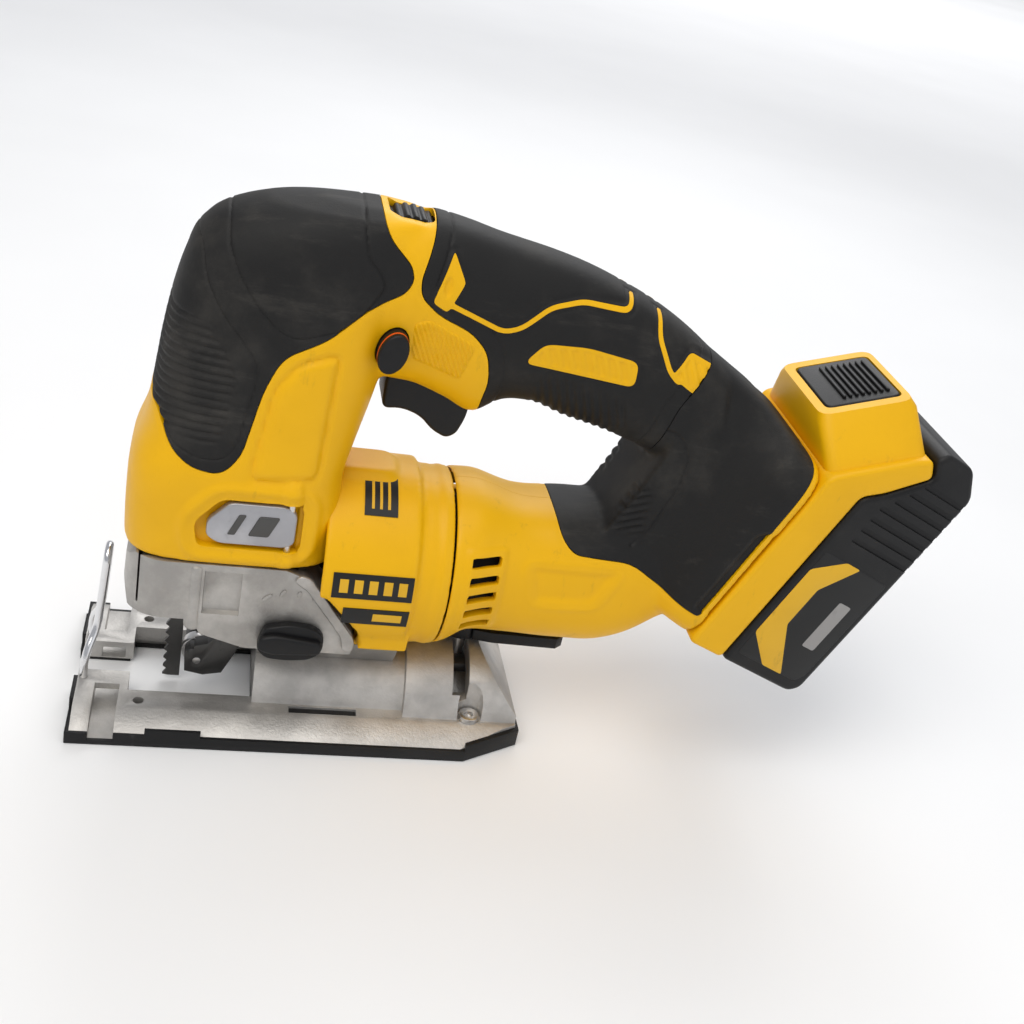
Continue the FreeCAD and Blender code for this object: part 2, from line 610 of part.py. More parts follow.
# ---------------------------------------------------------------- roller guide
def make_roller_bracket():
    """The orbital fork: two cheeks either side of the roller, hung on a pin under the gear case."""
    side = [(40, 11), (47, 9.5), (54, 11), (58, 20), (63, 32), (63, 39), (57.5, 39), (53, 30),
            (48, 24.5), (43, 23), (39.5, 19)]
    fork = plate(side, -9, 9)
    fork = fork.cut(block((30, 54), (-3, 3), (0, 60)))
    fork = fork.cut(cylinder(1.5, 40, (60, -20, 36.5), "Y"))
    fork = fork.cut(cylinder(1.5, 40, (d.roller_x, -20, d.roller_z), "Y"))
    return fork.cut(block((38, 43), (-12, 12), (21.5, 30))).removeSplitter()


node("roller_bracket", make_roller_bracket())
node("bracket_pin", drum("bracket_pin", "1.45", "26", (60, -13, 36.5), "Y"))
node("roller_pin", drum("roller_pin", "1.5", "18", ("Sizes.roller_x", -9, "Sizes.roller_z"), "Y"))
ring_node("guide_roller", "Sizes.roller_radius", "1.5 + Sizes.slide_gap", "Sizes.roller_wide",
          ("Sizes.roller_x", "-Sizes.roller_wide / 2", "Sizes.roller_z"), "Y")
node("lamp_lens", drum("lamp_lens", "3", "4.2", (24, 0, 50.2), "Z"))

# ---------------------------------------------------------------- clamshell casing
COLUMN = [(75.2, d.cowl_front, 83.8, d.cowl_half, 16), (110, d.cowl_front, 83.8, d.cowl_half, 16),
          (118, 18.5, 93, 29.5, 16), (150, 22.3, 98, 27, 16), (175, 27, 104, 24, 16),
          (188, 31.5, 108, 22.5, 15), (196.5, 43, 110, 18.5, 12), (202.4, 66, 108, 12, 8)]
HANDLE = [(86, 150, 202, 22, 14), (108, 142, 201.8, 19.5, 14), (131, 132, 197.5, d.handle_half, 14),
          (146, 140, 194.8, d.handle_half, 14), (165, 135, 190.6, d.handle_half, 14),
          (190, 129, 181, 19, 14), (206, 122, 172.8, 19.3, 14), (222, 112, 161.8, 19.5, 14)]
TAIL = [(131.2, 33.5, 103, d.barrel_step_radius, 34), (138.5, 41, 103, 32, 30.5),
        (146, 41.6, 102, 30, 29), (153, 42, 98, d.tube_radius, 27), (194, 42, 98, d.tube_radius, 26),
        (207, 47, 98, 27, 20), (217, 56, 98, 27, 14), (224.5, 61.5, 90, 26, 10)]
FOOT = [(134.5, 142, 238, 19.5, 12), (158, 146, 234.5, 24, 12), (169, d.pack_low, 231.8, 33, 8),
        (d.pack_face, d.pack_low, 229, d.pack_half, 6)]


def casing_shape(inset, end_wall=0):
    """The whole D-shaped casing: nose and column, handle, tail of the motor and battery foot. The
    skin and the cavity are the same form made smaller, and the cavity also stops at the end walls."""
    foot = loft_x(FOOT, inset).common(block((0, d.pack_face - end_wall), (-60, 60), (0, 300)))
    tail = loft_x(TAIL, inset).common(block((0, TAIL[-1][0] - inset), (-60, 60), (0, 200)))
    column = loft_z(COLUMN, inset).common(block((0, 200), (-60, 60), (0, COLUMN[-1][0] - inset)))
    return fused([column, loft_x(HANDLE, inset), tail, leaned(foot)])


def side_zone(outline):
    return plate(outline, -60, 60)


NOSE_ZONE = side_zone([(5, 133), (22, 130), (30, 116), (38, 111.5), (48, 110.5), (53, 120), (58, 145),
                       (62, 155), (77, 163), (87, 175), (94, 180), (96, 187), (89, 197), (87, 210),
                       (5, 210)])
HANDLE_ZONE = side_zone([(111, 210), (107, 192), (104, 182), (112, 176), (124, 170), (131, 163),
                         (133, 150), (132, 141), (134, 122), (196, 121), (206, 190), (206, 210)])
FOOT_ZONE = side_zone([(206, 200), (206, 190), (196.2, 121), (150, 118), (163, 112), (168, 103), (172, 92),
                       (176, 88), (200, 86), (213, 78), (224, 74), (231, 67), (290, 67), (290, 200)])
BOSSES = [(33, 178), (62, 152), (150, 178), (185, 145), (239.8, 137.8), (213, 76.4), (175, 70)]
boss_radius, screw_radius, head_radius, head_y = 5, 1.6, 3.3, 13
lever_pin_x, lever_pin_y = 71, -30.2
lever_swing = 3.7


def make_casing():
    """The hollow casing with its ribs, bosses and openings, still in one piece."""
    outer, skin, inner = casing_shape(0), casing_shape(d.skin), casing_shape(d.wall, d.wall)
    skin_layer = outer.cut(skin)
    grips = {"nose_grip": skin_layer.common(NOSE_ZONE), "handle_grip": skin_layer.common(HANDLE_ZONE),
             "foot_grip": skin_layer.common(FOOT_ZONE)}
    barrel_clear = barrel_shape(-d.seam).fuse(fairing_shape(d.seam))
    shell = outer.cut(inner)
    extras = [block((31, 78), (-31, -25.3), (78, 109)),
              block((131.6, 136), (-32.5, 32.5), (63, 73))]
    for side in (-1, 1):
        low, high = sorted((side * 7.6, side * 21))
        extras.append(block((94, 104), (low, high), (183, 191)))
    extras += [cylinder(boss_radius, 70, (x, -35, z), "Y") for x, z in BOSSES]
    shell = shell.fuse(fused(extras).common(skin))
    cuts = [barrel_clear, cylinder(6, 10, (131, 0, d.motor_z), "X"),
            cylinder(d.dial_radius + 0.3, 15, (d.dial_x, -7.5, d.dial_z), "Y"),
            cylinder(2.05, 24, (d.dial_x, -12, d.dial_z), "Y"),
            block((97.8, 131.4), (-d.trigger_half - 0.3, d.trigger_half + 0.3), (120, 156)),
            block((33, 76), (-60, -27.8), (80, 107)),
            cylinder(lever_swing, 20, (lever_pin_x, lever_pin_y, 82.5), "Z"),
            cylinder(3, 20, (d.clamp_x, 0, 38), "Z"), cylinder(1.2, 33, (lever_pin_x, lever_pin_y, 77), "Z"),
            leaned(block((d.pack_face - 8, d.pack_face + 1), (-18.4, 18.4), (163, 217)))]
    for x, z in BOSSES:
        cuts.append(cylinder(screw_radius, 26, (x, -12, z), "Y"))
        cuts.append(cylinder(head_radius + 0.3, 40, (x, head_y, z), "Y"))
    for i in range(5):
        middle = 56 + 7 * i
        for side in (-1, 1):
            low, high = sorted((side * 20, side * 40))
            cuts.append(block((138, 149), (low, high), (middle - 1.6, middle + 1.6)))
    button = plate(BUTTON_HOLE, -60, 60)
    return shell.cut(fused(cuts)).cut(button), grips, button


def oval(x, z, half_wide, half_tall, tilt, sides=12):
    """An upright oval of straight sides about a point, tilted clockwise by tilt degrees."""
    corners = []
    for i in range(sides):
        angle = 2 * math.pi * (i + 0.5) / sides
        u, v = half_wide * math.cos(angle), half_tall * math.sin(angle)
        lean = math.radians(tilt)
        corners.append((x + u * math.cos(lean) + v * math.sin(lean),
                        z - u * math.sin(lean) + v * math.cos(lean)))
    return corners


BUTTON = oval(97.5, 159.5, 5, 7.5, 15)
button_low = min(z for x, z in BUTTON)
BUTTON_HOLE = oval(97.5, 159.5, 5 + d.control_gap, 7.5 + d.control_gap, 15)
casing, grips, button_hole = make_casing()
for name, grip in grips.items():
    screws_way = fused([cylinder(head_radius + 0.3, 40, (x, head_y, z), "Y") for x, z in BOSSES])
    node(name, grip.cut(screws_way).cut(button_hole))
bare = casing
for grip in grips.values():
    bare = bare.cut(grip)
node("casing_left", bare.common(block((-5, 300), (-60, 0), (0, 260))))
node("casing_right", bare.common(block((-5, 300), (0, 60), (0, 260))))


def make_casing_screw(x, z):
    shank = cylinder(screw_radius, 24.5, (x, head_y - 24.5, z), "Y")
    head = cylinder(head_radius, 2.4, (x, head_y, z), "Y")
    socket = cylinder(1.4, 2, (x, head_y + 1, z), "Y")
    return shank.fuse(head).cut(socket).removeSplitter()


node("casing_screws", Part.makeCompound([make_casing_screw(x, z) for x, z in BOSSES]))

# ---------------------------------------------------------------- controls
PLATE = [(42.5, 93), (50, 101), (70, 101), (73.5, 98), (73.5, 86), (70, 84), (47, 84), (42.5, 87)]
lever = slab("release_plate", "XZ", PLATE, 28.2, 4)
lever_bore = drum("lever_bore", "1.25", "40", (lever_pin_x, lever_pin_y, 75), "Z")
node("release_lever", joined("cut", "release_lever", lever, [lever_bore]))
node("lever_pin", drum("lever_pin", "1.2", "31", (lever_pin_x, lever_pin_y, 78), "Z"))

KNOB = [(64, 43), (68, 38.6), (76, 38), (84, 39), (88.5, 43), (88.5, 50), (84, 53.5), (75, 54.4), (66, 52)]
knob = slab("knob_body", "XZ", KNOB, 31.3, 7)
knob_stem = drum("knob_stem", "4", "8", (75, -32, 47), "Y")
node("orbital_knob", joined("fuse", "orbital_knob", knob, [knob_stem]))

trigger_step = button_low - d.trigger_travel - 0.7
TRIGGER = [(98.6, 131), (106, 132), (113, 129.6), (118, 124.6), (123.5, 122), (127, 124), (129.6, 131),
           (130.8, 150), (104.6, 150), (104.6, trigger_step), (98.6, trigger_step)]
node("trigger", slab("trigger", "XZ", TRIGGER, "-Sizes.trigger_half", "2 * Sizes.trigger_half"))
node("lock_button", slab("lock_button", "XZ", BUTTON, "-26.5 - Sizes.lock_travel", "53 + Sizes.lock_travel"))

dial = drum("dial_wheel", "Sizes.dial_radius", "2 * Sizes.dial_half",
            ("Sizes.dial_x", "-Sizes.dial_half", "Sizes.dial_z"), "Y")
dial_axle = drum("dial_axle", "2", "22", ("Sizes.dial_x", -11, "Sizes.dial_z"), "Y")
node("speed_dial", joined("fuse", "speed_dial", dial, [dial_axle]))

SWITCH = [(103.6, 157), (134, 157), (134, 171.8), (103.6, 171.8)]
node("trigger_switch", slab("trigger_switch", "XZ", SWITCH, -15.4, 30.8))
BOARD = [(140, 159), (186, 159), (186, 161), (140, 161)]
board = slab("board_plate", "XZ", BOARD, -15.4, 30.8)
chips = [Part.makeBox(8, 10, 4, vec(x, -5, 161)) for x in (144, 158, 172)]
chip_group = doc.addObject("Part::Feature", "chips")
chip_group.Shape = Part.makeCompound(chips)
node("control_board", joined("fuse", "control_board", board, [chip_group]))

ARM = [(150, -7), (158, -8.5), (184, -9.5), (187, -7), (187, 7), (184, 9.5), (158, 8.5), (150, 7)]
arm = slab("lever_arm", "XY", ARM, 33.6, 4.6)
hub = drum("lever_hub", "7", "6.6", ("Sizes.clamp_x", 0, 33.4), "Z")
hub_bore = drum("hub_bore", "Sizes.clamp_bolt_radius + Sizes.slide_gap", "20", ("Sizes.clamp_x", 0, 30), "Z")
whole_lever = joined("fuse", "lever_whole", arm, [hub])
node("bevel_lever", joined("cut", "bevel_lever", whole_lever, [hub_bore]))
node("clamp_bolt", drum("clamp_bolt", "Sizes.clamp_bolt_radius", "28", ("Sizes.clamp_x", 0, 17), "Z"))


def make_clamp_plate():
    """The curved nut under the arch that the bolt pulls up against it."""
    clear = d.saddle_radius - d.saddle_wall - d.bevel_gap
    ring = tube(clear, clear - 3.4, 13, (d.clamp_x - 6.5, 0, d.bevel_z), "X")
    ring = ring.common(block((100, 200), (-8, 8), (10, 60)))
    return ring.cut(cylinder(d.clamp_bolt_radius, 40, (d.clamp_x, 0, 0), "Z"))


node("clamp_plate", make_clamp_plate())

# ---------------------------------------------------------------- battery pack
shoulder_deep, shoulder_rise = 30.2, 26.3
shoulder = math.hypot(shoulder_deep, shoulder_rise)
along = (shoulder_deep / shoulder, shoulder_rise / shoulder)
outward = (-along[1], along[0])
cap_face = d.pack_face + d.pack_gap
shoulder_low = 229


def on_shoulder(distance, height):
    """A point of the sloping shoulder: distance up the slope, height off it."""
    return (cap_face + along[0] * distance + outward[0] * height,
            shoulder_low + along[1] * distance + outward[1] * height)


hump_top, hump_half, well_floor = 17.5, 22.5, 8.3
button_low_end, button_high_end = 6, 35
cap_back = "Sizes.pack_face + Sizes.cap_deep"
pack_back = "Sizes.pack_face + Sizes.pack_deep"
shoulder_top = on_shoulder(shoulder, 0)
cap_corner = (shoulder_top[0] + 6, shoulder_top[1] - 6.3)
CAP = [("Sizes.pack_face + Sizes.pack_gap", "Sizes.pack_low"), (cap_back, "Sizes.pack_low"),
       (cap_back, shoulder_low), cap_corner, shoulder_top, ("Sizes.pack_face + Sizes.pack_gap", shoulder_low)]
cap_body = slab("cap_body", "XZ", CAP, "-Sizes.pack_half", "2 * Sizes.pack_half")
CASE = [(cap_back, "Sizes.pack_low"), (pack_back + " - 4", "Sizes.pack_low"),
        (pack_back, "Sizes.pack_low + 4"), (pack_back, "Sizes.pack_high - 10"),
        (pack_back + " - 9", "Sizes.pack_high"), (shoulder_top[0] + 3.5, "Sizes.pack_high"),
        shoulder_top, cap_corner, (cap_back, shoulder_low)]
case_body = slab("case_body", "XZ", CASE, "-Sizes.pack_half", "2 * Sizes.pack_half")


def wide_block(deep, half, long):
    return block(deep, (-half, half), long)


hook_start = cap_face + d.rail_stem - d.pack_gap - 0.3
hook_end = d.pack_face + d.rail_stem + d.rail_hook
channel_end = d.rail_high + 4


def shoulder_frame(along_low, along_high, half, height):
    """A rectangle lying at a height over the shoulder, as a wire."""
    corners = []
    for distance, side in ((along_low, -1), (along_high, -1), (along_high, 1), (along_low, 1)):
        deep, long = on_shoulder(distance, height)
        corners.append(vec(deep, side * half, long))
    return Part.makePolygon(corners + corners[:1])


def make_pack_cap():
    """The pack's yellow top: rail channel open at its lower end, the hump with the button's well,
    hollow back."""
    hump = Part.makeLoft([shoulder_frame(0.2, shoulder - 1, d.pack_half - 2, -0.5),
                          shoulder_frame(1.5, 38, hump_half, hump_top)], True, True)
    channel = fused([
        wide_block((cap_face - 1, hook_start), d.rail_inner + 3.3, (d.pack_low - 1, channel_end)),
        wide_block((hook_start, hook_end + 0.7), d.rail_inner + 6.6, (d.pack_low - 1, channel_end))])
    well = plate([on_shoulder(button_low_end - d.control_gap, height) for height in (30, well_floor)]
                 + [on_shoulder(button_high_end + d.control_gap, height) for height in (well_floor, 30)],
                 -d.latch_half - d.control_gap, d.latch_half + d.control_gap)
    back = d.pack_face + d.cap_deep
    hollow = wide_block((hook_end + 3.2, back + 1), d.pack_half - 2.5, (d.pack_low + 2.5, shoulder_low - 4))
    return free(cap_body).fuse(hump).cut(fused([channel, well])).cut(hollow).removeSplitter()


def make_pack_case():
    """The pack's black lower case, hollow for the cells."""
    back = d.pack_face + d.pack_deep
    front = d.pack_face + d.cap_deep
    hollow = wide_block((front - 1, back - 2.5), d.pack_half - 2.5, (d.pack_low + 2.5, shoulder_low - 4))
    upper = wide_block((front + 17.5, back - 2.5), d.pack_half - 2.5, (shoulder_low - 5, d.pack_high - 12))
    return free(case_body).cut(hollow.fuse(upper)).removeSplitter()


def make_cells():
    """Two rows of five round cells lying across the pack."""
    back = d.pack_face + d.pack_deep - 2.5
    pitch = 2 * d.cell_radius + 0.4
    cells = []
    for layer in range(2):
        for i in range(5):
            deep = back - 0.3 - d.cell_radius - layer * (2 * d.cell_radius + 0.05)
            low = d.pack_low + 2.9 + d.cell_radius + i * pitch
            if layer and i == 4:
                continue
            cells.append(cylinder(d.cell_radius, d.cell_long, (deep, -d.cell_long / 2, low), "Y"))
    return Part.makeCompound(cells)


def make_rails():
    """The two hooked rails on the foot that carry the pack."""
    rails = []
    for side in (-1, 1):
        stem = block((d.pack_face - 2, d.pack_face + d.rail_stem + 0.2),
                     *sorted_pairs((side * d.rail_inner, side * (d.rail_inner + 3)),
                                   (d.rail_low, d.rail_high)))
        hook = block((d.pack_face + d.rail_stem, hook_end),
                     *sorted_pairs((side * d.rail_inner, side * (d.rail_inner + 6)),
                                   (d.rail_low, d.rail_high)))
        rails.append(stem.fuse(hook).removeSplitter())
    return Part.makeCompound(rails)


def make_terminal_block():
    """The moulding that carries the tool's contact blades into the pack."""
    base = wide_block((d.pack_face - 8, d.pack_face + 1.2), 18.1, (163.4, 216.6))
    blades = [block((d.pack_face, d.pack_face + 5), (y - 0.5, y + 0.5), (172, 208)) for y in (-12, -4, 4, 12)]
    return fused([base] + blades)


node("pack_cap", make_pack_cap(), LEANING)
node("pack_case", make_pack_case(), LEANING)
node("pack_cells", make_cells(), LEANING)
node("terminal_block", make_terminal_block(), LEANING)
PRESS = [on_shoulder(button_low_end, hump_top + 1.4), on_shoulder(button_high_end, hump_top + 1.4),
         on_shoulder(button_high_end, well_floor + 3.4), on_shoulder(button_low_end, well_floor + 3.4)]
node("pack_button", slab("pack_button", "XZ", PRESS, "-Sizes.latch_half", "2 * Sizes.latch_half"), LEANING)
rails = make_rails()
node("foot_rails", rails, LEANING)
rail_seats = leaned(rails)
for name in ("casing_left", "casing_right", "foot_grip"):
    NODES[name].Shape = NODES[name].Shape.cut(rail_seats.translated(vec(-ORIGIN_X, 0, 0)))

# ---------------------------------------------------------------- check and write
doc.recompute()
for obj in doc.Objects:
    if "Invalid" in obj.State or "Error" in obj.State:
        raise ValueError(f"{obj.Label} failed: {obj.State}")
os.makedirs("parts", exist_ok=True)
for name, obj in NODES.items():
    if obj.Shape.isNull() or not obj.Shape.isValid():
        raise ValueError(f"{name} has no valid shape")
    obj.Shape.exportStep(f"parts/{name}.step")
    print(name, len(obj.Shape.Solids), round(obj.Shape.Volume / 1000, 2))
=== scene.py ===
import json
import math

import bmesh
import bpy
import numpy as np
from mathutils import Matrix, Vector


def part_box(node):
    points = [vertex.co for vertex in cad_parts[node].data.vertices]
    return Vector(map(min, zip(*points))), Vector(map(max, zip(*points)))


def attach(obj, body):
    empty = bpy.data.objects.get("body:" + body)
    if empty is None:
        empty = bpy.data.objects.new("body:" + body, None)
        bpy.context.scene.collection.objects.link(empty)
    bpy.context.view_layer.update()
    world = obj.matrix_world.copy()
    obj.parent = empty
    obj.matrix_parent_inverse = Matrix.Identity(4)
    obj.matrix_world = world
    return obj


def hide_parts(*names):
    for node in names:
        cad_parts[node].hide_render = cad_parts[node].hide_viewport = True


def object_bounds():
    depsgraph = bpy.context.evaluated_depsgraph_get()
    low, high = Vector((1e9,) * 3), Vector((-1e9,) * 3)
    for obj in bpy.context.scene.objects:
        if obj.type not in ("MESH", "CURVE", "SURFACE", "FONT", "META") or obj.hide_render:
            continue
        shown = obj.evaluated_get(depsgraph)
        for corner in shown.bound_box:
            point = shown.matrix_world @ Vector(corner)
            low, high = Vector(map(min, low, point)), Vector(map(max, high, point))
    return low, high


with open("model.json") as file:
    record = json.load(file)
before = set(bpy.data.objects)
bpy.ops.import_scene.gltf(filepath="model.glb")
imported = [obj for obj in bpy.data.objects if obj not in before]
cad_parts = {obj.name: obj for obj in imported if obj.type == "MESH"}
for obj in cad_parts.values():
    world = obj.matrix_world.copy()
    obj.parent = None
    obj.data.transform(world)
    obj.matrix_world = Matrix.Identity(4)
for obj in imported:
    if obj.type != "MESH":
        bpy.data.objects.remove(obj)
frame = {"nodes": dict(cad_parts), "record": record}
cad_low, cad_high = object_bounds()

# A cordless jigsaw. Stations are millimetres: x rearward from the front edge of the shoe, y to the
# tool's right of the middle plane, z above the sole. The pack is laid out in its own leaning frame:
# depth away from the foot, and length up the pack.
MM = 0.001
SHOE_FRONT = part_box("sole_cover")[0].x / MM
PACK_LEAN = math.radians(23.5)
NEAR, FAR = -1, 1
SIDES = ((NEAR, "left"), (FAR, "right"))
CASING_WALL, RUBBER_WALL, RUBBER_GAP = 2.6, 1.6, 0.15
RIM_RADIUS = 0.3
MOTOR_LEVEL, BARREL_RADIUS = 68, 37.0
LEVER_PIN = (71, -30.2)
PACK_HALF = 37.8


def at(x, y, z):
    """A station as a point of the frame, in metres."""
    return Vector(((x + SHOE_FRONT) * MM, y * MM, z * MM))


def in_pack(depth, y, length):
    """A point of the leaning pack frame as stations."""
    lean_sin, lean_cos = math.sin(PACK_LEAN), math.cos(PACK_LEAN)
    return lean_cos * depth + lean_sin * length, y, -lean_sin * depth + lean_cos * length


# ---------------------------------------------------------------- shader graph
class Value:
    """A number socket that takes arithmetic, each sign adding its Math node."""

    def __init__(self, paint, socket):
        self.paint, self.socket = paint, socket

    def math(self, operation, other, swapped=False):
        pair = (other, self) if swapped else (self, other)
        return self.paint.node("ShaderNodeMath", {"operation": operation}, {0: pair[0], 1: pair[1]})

    def __add__(self, other):
        return self.math("ADD", other)

    def __radd__(self, other):
        return self.math("ADD", other, True)

    def __mul__(self, other):
        return self.math("MULTIPLY", other)

    def __rmul__(self, other):
        return self.math("MULTIPLY", other, True)

    def between(self, low, high):
        """0 below low, 1 above high, smooth between."""
        return self.paint.node("ShaderNodeMapRange", {"interpolation_type": "SMOOTHSTEP"},
                               {"Value": self, "From Min": low, "From Max": high})


class Paint:
    """One material and the nodes that make it."""

    def __init__(self, name):
        self.material = bpy.data.materials.new(name)
        self.material.use_nodes = True
        self.tree = self.material.node_tree
        self.tree.nodes.clear()
        self.output = self.tree.nodes.new("ShaderNodeOutputMaterial")
        self.place = self.node("ShaderNodeTexCoord", {}, {}, "Object")

    def node(self, kind, settings, inputs, output=0):
        made = self.tree.nodes.new(kind)
        for key, setting in settings.items():
            setattr(made, key, setting)
        for key, given in inputs.items():
            self.feed(made.inputs[key], given)
        return Value(self, made.outputs[output])

    def feed(self, socket, given):
        if isinstance(given, Value):
            self.tree.links.new(given.socket, socket)
        elif isinstance(given, tuple) and len(given) == 3 and socket.type == "RGBA":
            socket.default_value = (*given, 1)
        else:
            socket.default_value = given

    def noise(self, scale, detail=4.0, rough=0.55, stretch=None):
        place = self.place
        if stretch:
            place = self.node("ShaderNodeMapping", {}, {"Vector": self.place, "Scale": stretch})
        return self.node("ShaderNodeTexNoise", {}, {"Vector": place, "Scale": scale, "Detail": detail,
                                                    "Roughness": rough})

    def blend(self, factor, first, second):
        return self.node("ShaderNodeMix", {"data_type": "RGBA"}, {0: factor, 6: first, 7: second}, 2)

    def bump(self, height, strength, distance):
        return self.node("ShaderNodeBump", {}, {"Height": height, "Strength": strength,
                                                "Distance": distance})

    def finish(self, **inputs):
        shader = self.tree.nodes.new("ShaderNodeBsdfPrincipled")
        for key, given in inputs.items():
            self.feed(shader.inputs[key.replace("_", " ")], given)
        self.tree.links.new(shader.outputs[0], self.output.inputs[0])
        return self.material


def moulded_plastic(name, colour, shade, rough, grime=0.35, grain=0.12):
    """A moulded shell: fine spark texture, slight tone changes, handling grime and scuffs."""
    p = Paint(name)
    tone = p.noise(28.0, 5.0)
    spark = p.noise(2600.0, 2.0)
    scuff = p.noise(140.0, 8.0, 0.7, (1.0, 1.0, 0.35))
    worn = scuff.between(0.60, 0.74) * grime
    dusty = tone.between(0.45, 0.8) * grime
    body = p.blend(dusty, colour, shade)
    body = p.blend(worn, body, tuple(c * 0.55 + 0.02 for c in shade))
    return p.finish(Base_Color=body, Roughness=rough + 0.16 * tone + 0.2 * worn,
                    Specular_IOR_Level=0.28,
                    Normal=p.bump(spark + 0.4 * scuff, grain, 0.0004))


def soft_rubber(name, colour, dust, amount):
    """Matt overmould: dark, with pale dust rubbed over it and streaks along the strokes of a hand."""
    p = Paint(name)
    cloud = p.noise(22.0, 7.0, 0.62)
    streak = p.noise(90.0, 6.0, 0.7, (0.25, 1.0, 1.0))
    grain = p.noise(1900.0, 2.0)
    patch = (cloud.between(0.46, 0.72) * 0.7 + streak.between(0.56, 0.75) * 0.5) * amount
    return p.finish(Base_Color=p.blend(patch, colour, dust), Roughness=0.52 + 0.25 * cloud,
                    Specular_IOR_Level=0.32, Normal=p.bump(grain + streak, 0.16, 0.0004))


def cast_metal(name, colour, shade, rough, metallic=0.85, grain=0.35):
    """Die-cast alloy: grainy skin, dull patches and darker stains at random."""
    p = Paint(name)
    grit = p.noise(900.0, 4.0, 0.6)
    cloud = p.noise(45.0, 6.0, 0.6)
    stain = p.noise(110.0, 8.0, 0.72)
    body = p.blend(cloud.between(0.35, 0.7), shade, colour)
    body = p.blend(stain.between(0.6, 0.8) * 0.5, body, tuple(c * 0.4 for c in shade))
    return p.finish(Base_Color=body, Metallic=metallic, Roughness=rough + 0.22 * cloud + 0.1 * grit,
                    Normal=p.bump(grit + 0.6 * cloud, grain, 0.0005))


def worked_metal(name, colour, rough, stretch=(1.0, 1.0, 12.0), spots=0.3, metallic=1.0):
    """Ground, drawn or plated steel with its fine lines and a few dull spots."""
    p = Paint(name)
    lines = p.noise(700.0, 3.0, 0.5, stretch)
    spot = p.noise(160.0, 6.0, 0.7)
    body = p.blend(spot.between(0.58, 0.76) * spots, colour, tuple(c * 0.35 for c in colour))
    dulled = spot.between(0.5, 0.8) * spots
    return p.finish(Base_Color=body, Metallic=metallic, Roughness=rough + 0.12 * lines + 0.25 * dulled,
                    Normal=p.bump(lines, 0.12, 0.0002))


def wound_iron(name):
    """Stacked laminations with copper windings showing between them."""
    p = Paint(name)
    layer = p.node("ShaderNodeTexWave", {"bands_direction": "X"}, {"Vector": p.place, "Scale": 900.0})
    copper = p.noise(120.0, 3.0).between(0.48, 0.56)
    return p.finish(Base_Color=p.blend(copper, (0.11, 0.1, 0.1), (0.45, 0.19, 0.08)), Metallic=0.8,
                    Roughness=0.4 + 0.2 * layer, Normal=p.bump(layer, 0.4, 0.0003))


def clear_lens(name):
    p = Paint(name)
    ring = p.noise(300.0, 2.0)
    return p.finish(Base_Color=(0.85, 0.87, 0.9), Roughness=0.08 + 0.1 * ring, Transmission_Weight=0.6,
                    IOR=1.49, Normal=p.bump(ring, 0.1, 0.0003))


PAINTS = {
    "yellow_casing": moulded_plastic("yellow_shell", (0.82, 0.44, 0.0), (0.62, 0.31, 0.0), 0.36, 0.3),
    "black_rubber": soft_rubber("grip_rubber", (0.0065, 0.0062, 0.006), (0.075, 0.068, 0.058), 0.5),
    "black_plastic": moulded_plastic("black_shell", (0.006, 0.006, 0.0065), (0.02, 0.019, 0.018), 0.36, 0.8,
                                     0.2),
    "cast_aluminium": cast_metal("cast_alloy", (0.56, 0.54, 0.51), (0.36, 0.345, 0.325), 0.36),
    "silver_paint": cast_metal("silver_lacquer", (0.50, 0.50, 0.52), (0.38, 0.38, 0.40), 0.3, 0.7, 0.1),
    "bright_steel": worked_metal("ground_steel", (0.62, 0.61, 0.60), 0.25),
    "dark_steel": worked_metal("blued_steel", (0.10, 0.098, 0.095), 0.38, spots=0.6, metallic=0.9),
    "chrome_wire": worked_metal("chrome_plate", (0.72, 0.72, 0.73), 0.1, spots=0.35),
    "bronze": worked_metal("sintered_bronze", (0.52, 0.34, 0.16), 0.42),
    "motor_iron": wound_iron("wound_iron"),
    "clear_lens": clear_lens("lamp_clear"),
    "green_board": moulded_plastic("board_lacquer", (0.02, 0.17, 0.06), (0.01, 0.1, 0.04), 0.25),
    "cell_metal": moulded_plastic("cell_sleeve", (0.10, 0.22, 0.45), (0.06, 0.14, 0.3), 0.3),
}
SHOE_METAL = cast_metal("shoe_alloy", (0.62, 0.60, 0.57), (0.42, 0.405, 0.385), 0.34, 0.8)
# Deep black is the colour of the painted shade block inside the tail, behind the air slots.
DEEP_BLACK = moulded_plastic("deep_black", (0.006, 0.006, 0.006), (0.012, 0.012, 0.012), 0.6)
ORANGE = moulded_plastic("signal_orange", (0.72, 0.09, 0.01), (0.5, 0.05, 0.01), 0.4)
LABEL_BLACK = moulded_plastic("label_black", (0.012, 0.012, 0.012), (0.03, 0.03, 0.03), 0.28, 0.5, 0.03)
LABEL_YELLOW = moulded_plastic("label_yellow", (0.74, 0.42, 0.02), (0.5, 0.27, 0.01), 0.3, 0.5, 0.03)
LABEL_GREY = moulded_plastic("label_grey", (0.30, 0.29, 0.28), (0.2, 0.19, 0.18), 0.3, 0.4, 0.03)

slot_of = {part["node"]: part["material_slot"] for part in frame["record"]["subparts"]}
bodies = frame["record"]["behaviour"]["bodies"]
body_of = {node: body for body, nodes in bodies.items() for node in nodes}


# ---------------------------------------------------------------- mesh helpers
def mesh_object(name, bm, material):
    mesh = bpy.data.meshes.new(name)
    bm.normal_update()
    bm.to_mesh(mesh)
    bm.free()
    mesh.materials.append(material)
    obj = bpy.data.objects.new(name, mesh)
    bpy.context.scene.collection.objects.link(obj)
    return obj


def repaint(obj, material):
    """Leaves one material on an object."""
    obj.data.materials.clear()
    obj.data.materials.append(material)


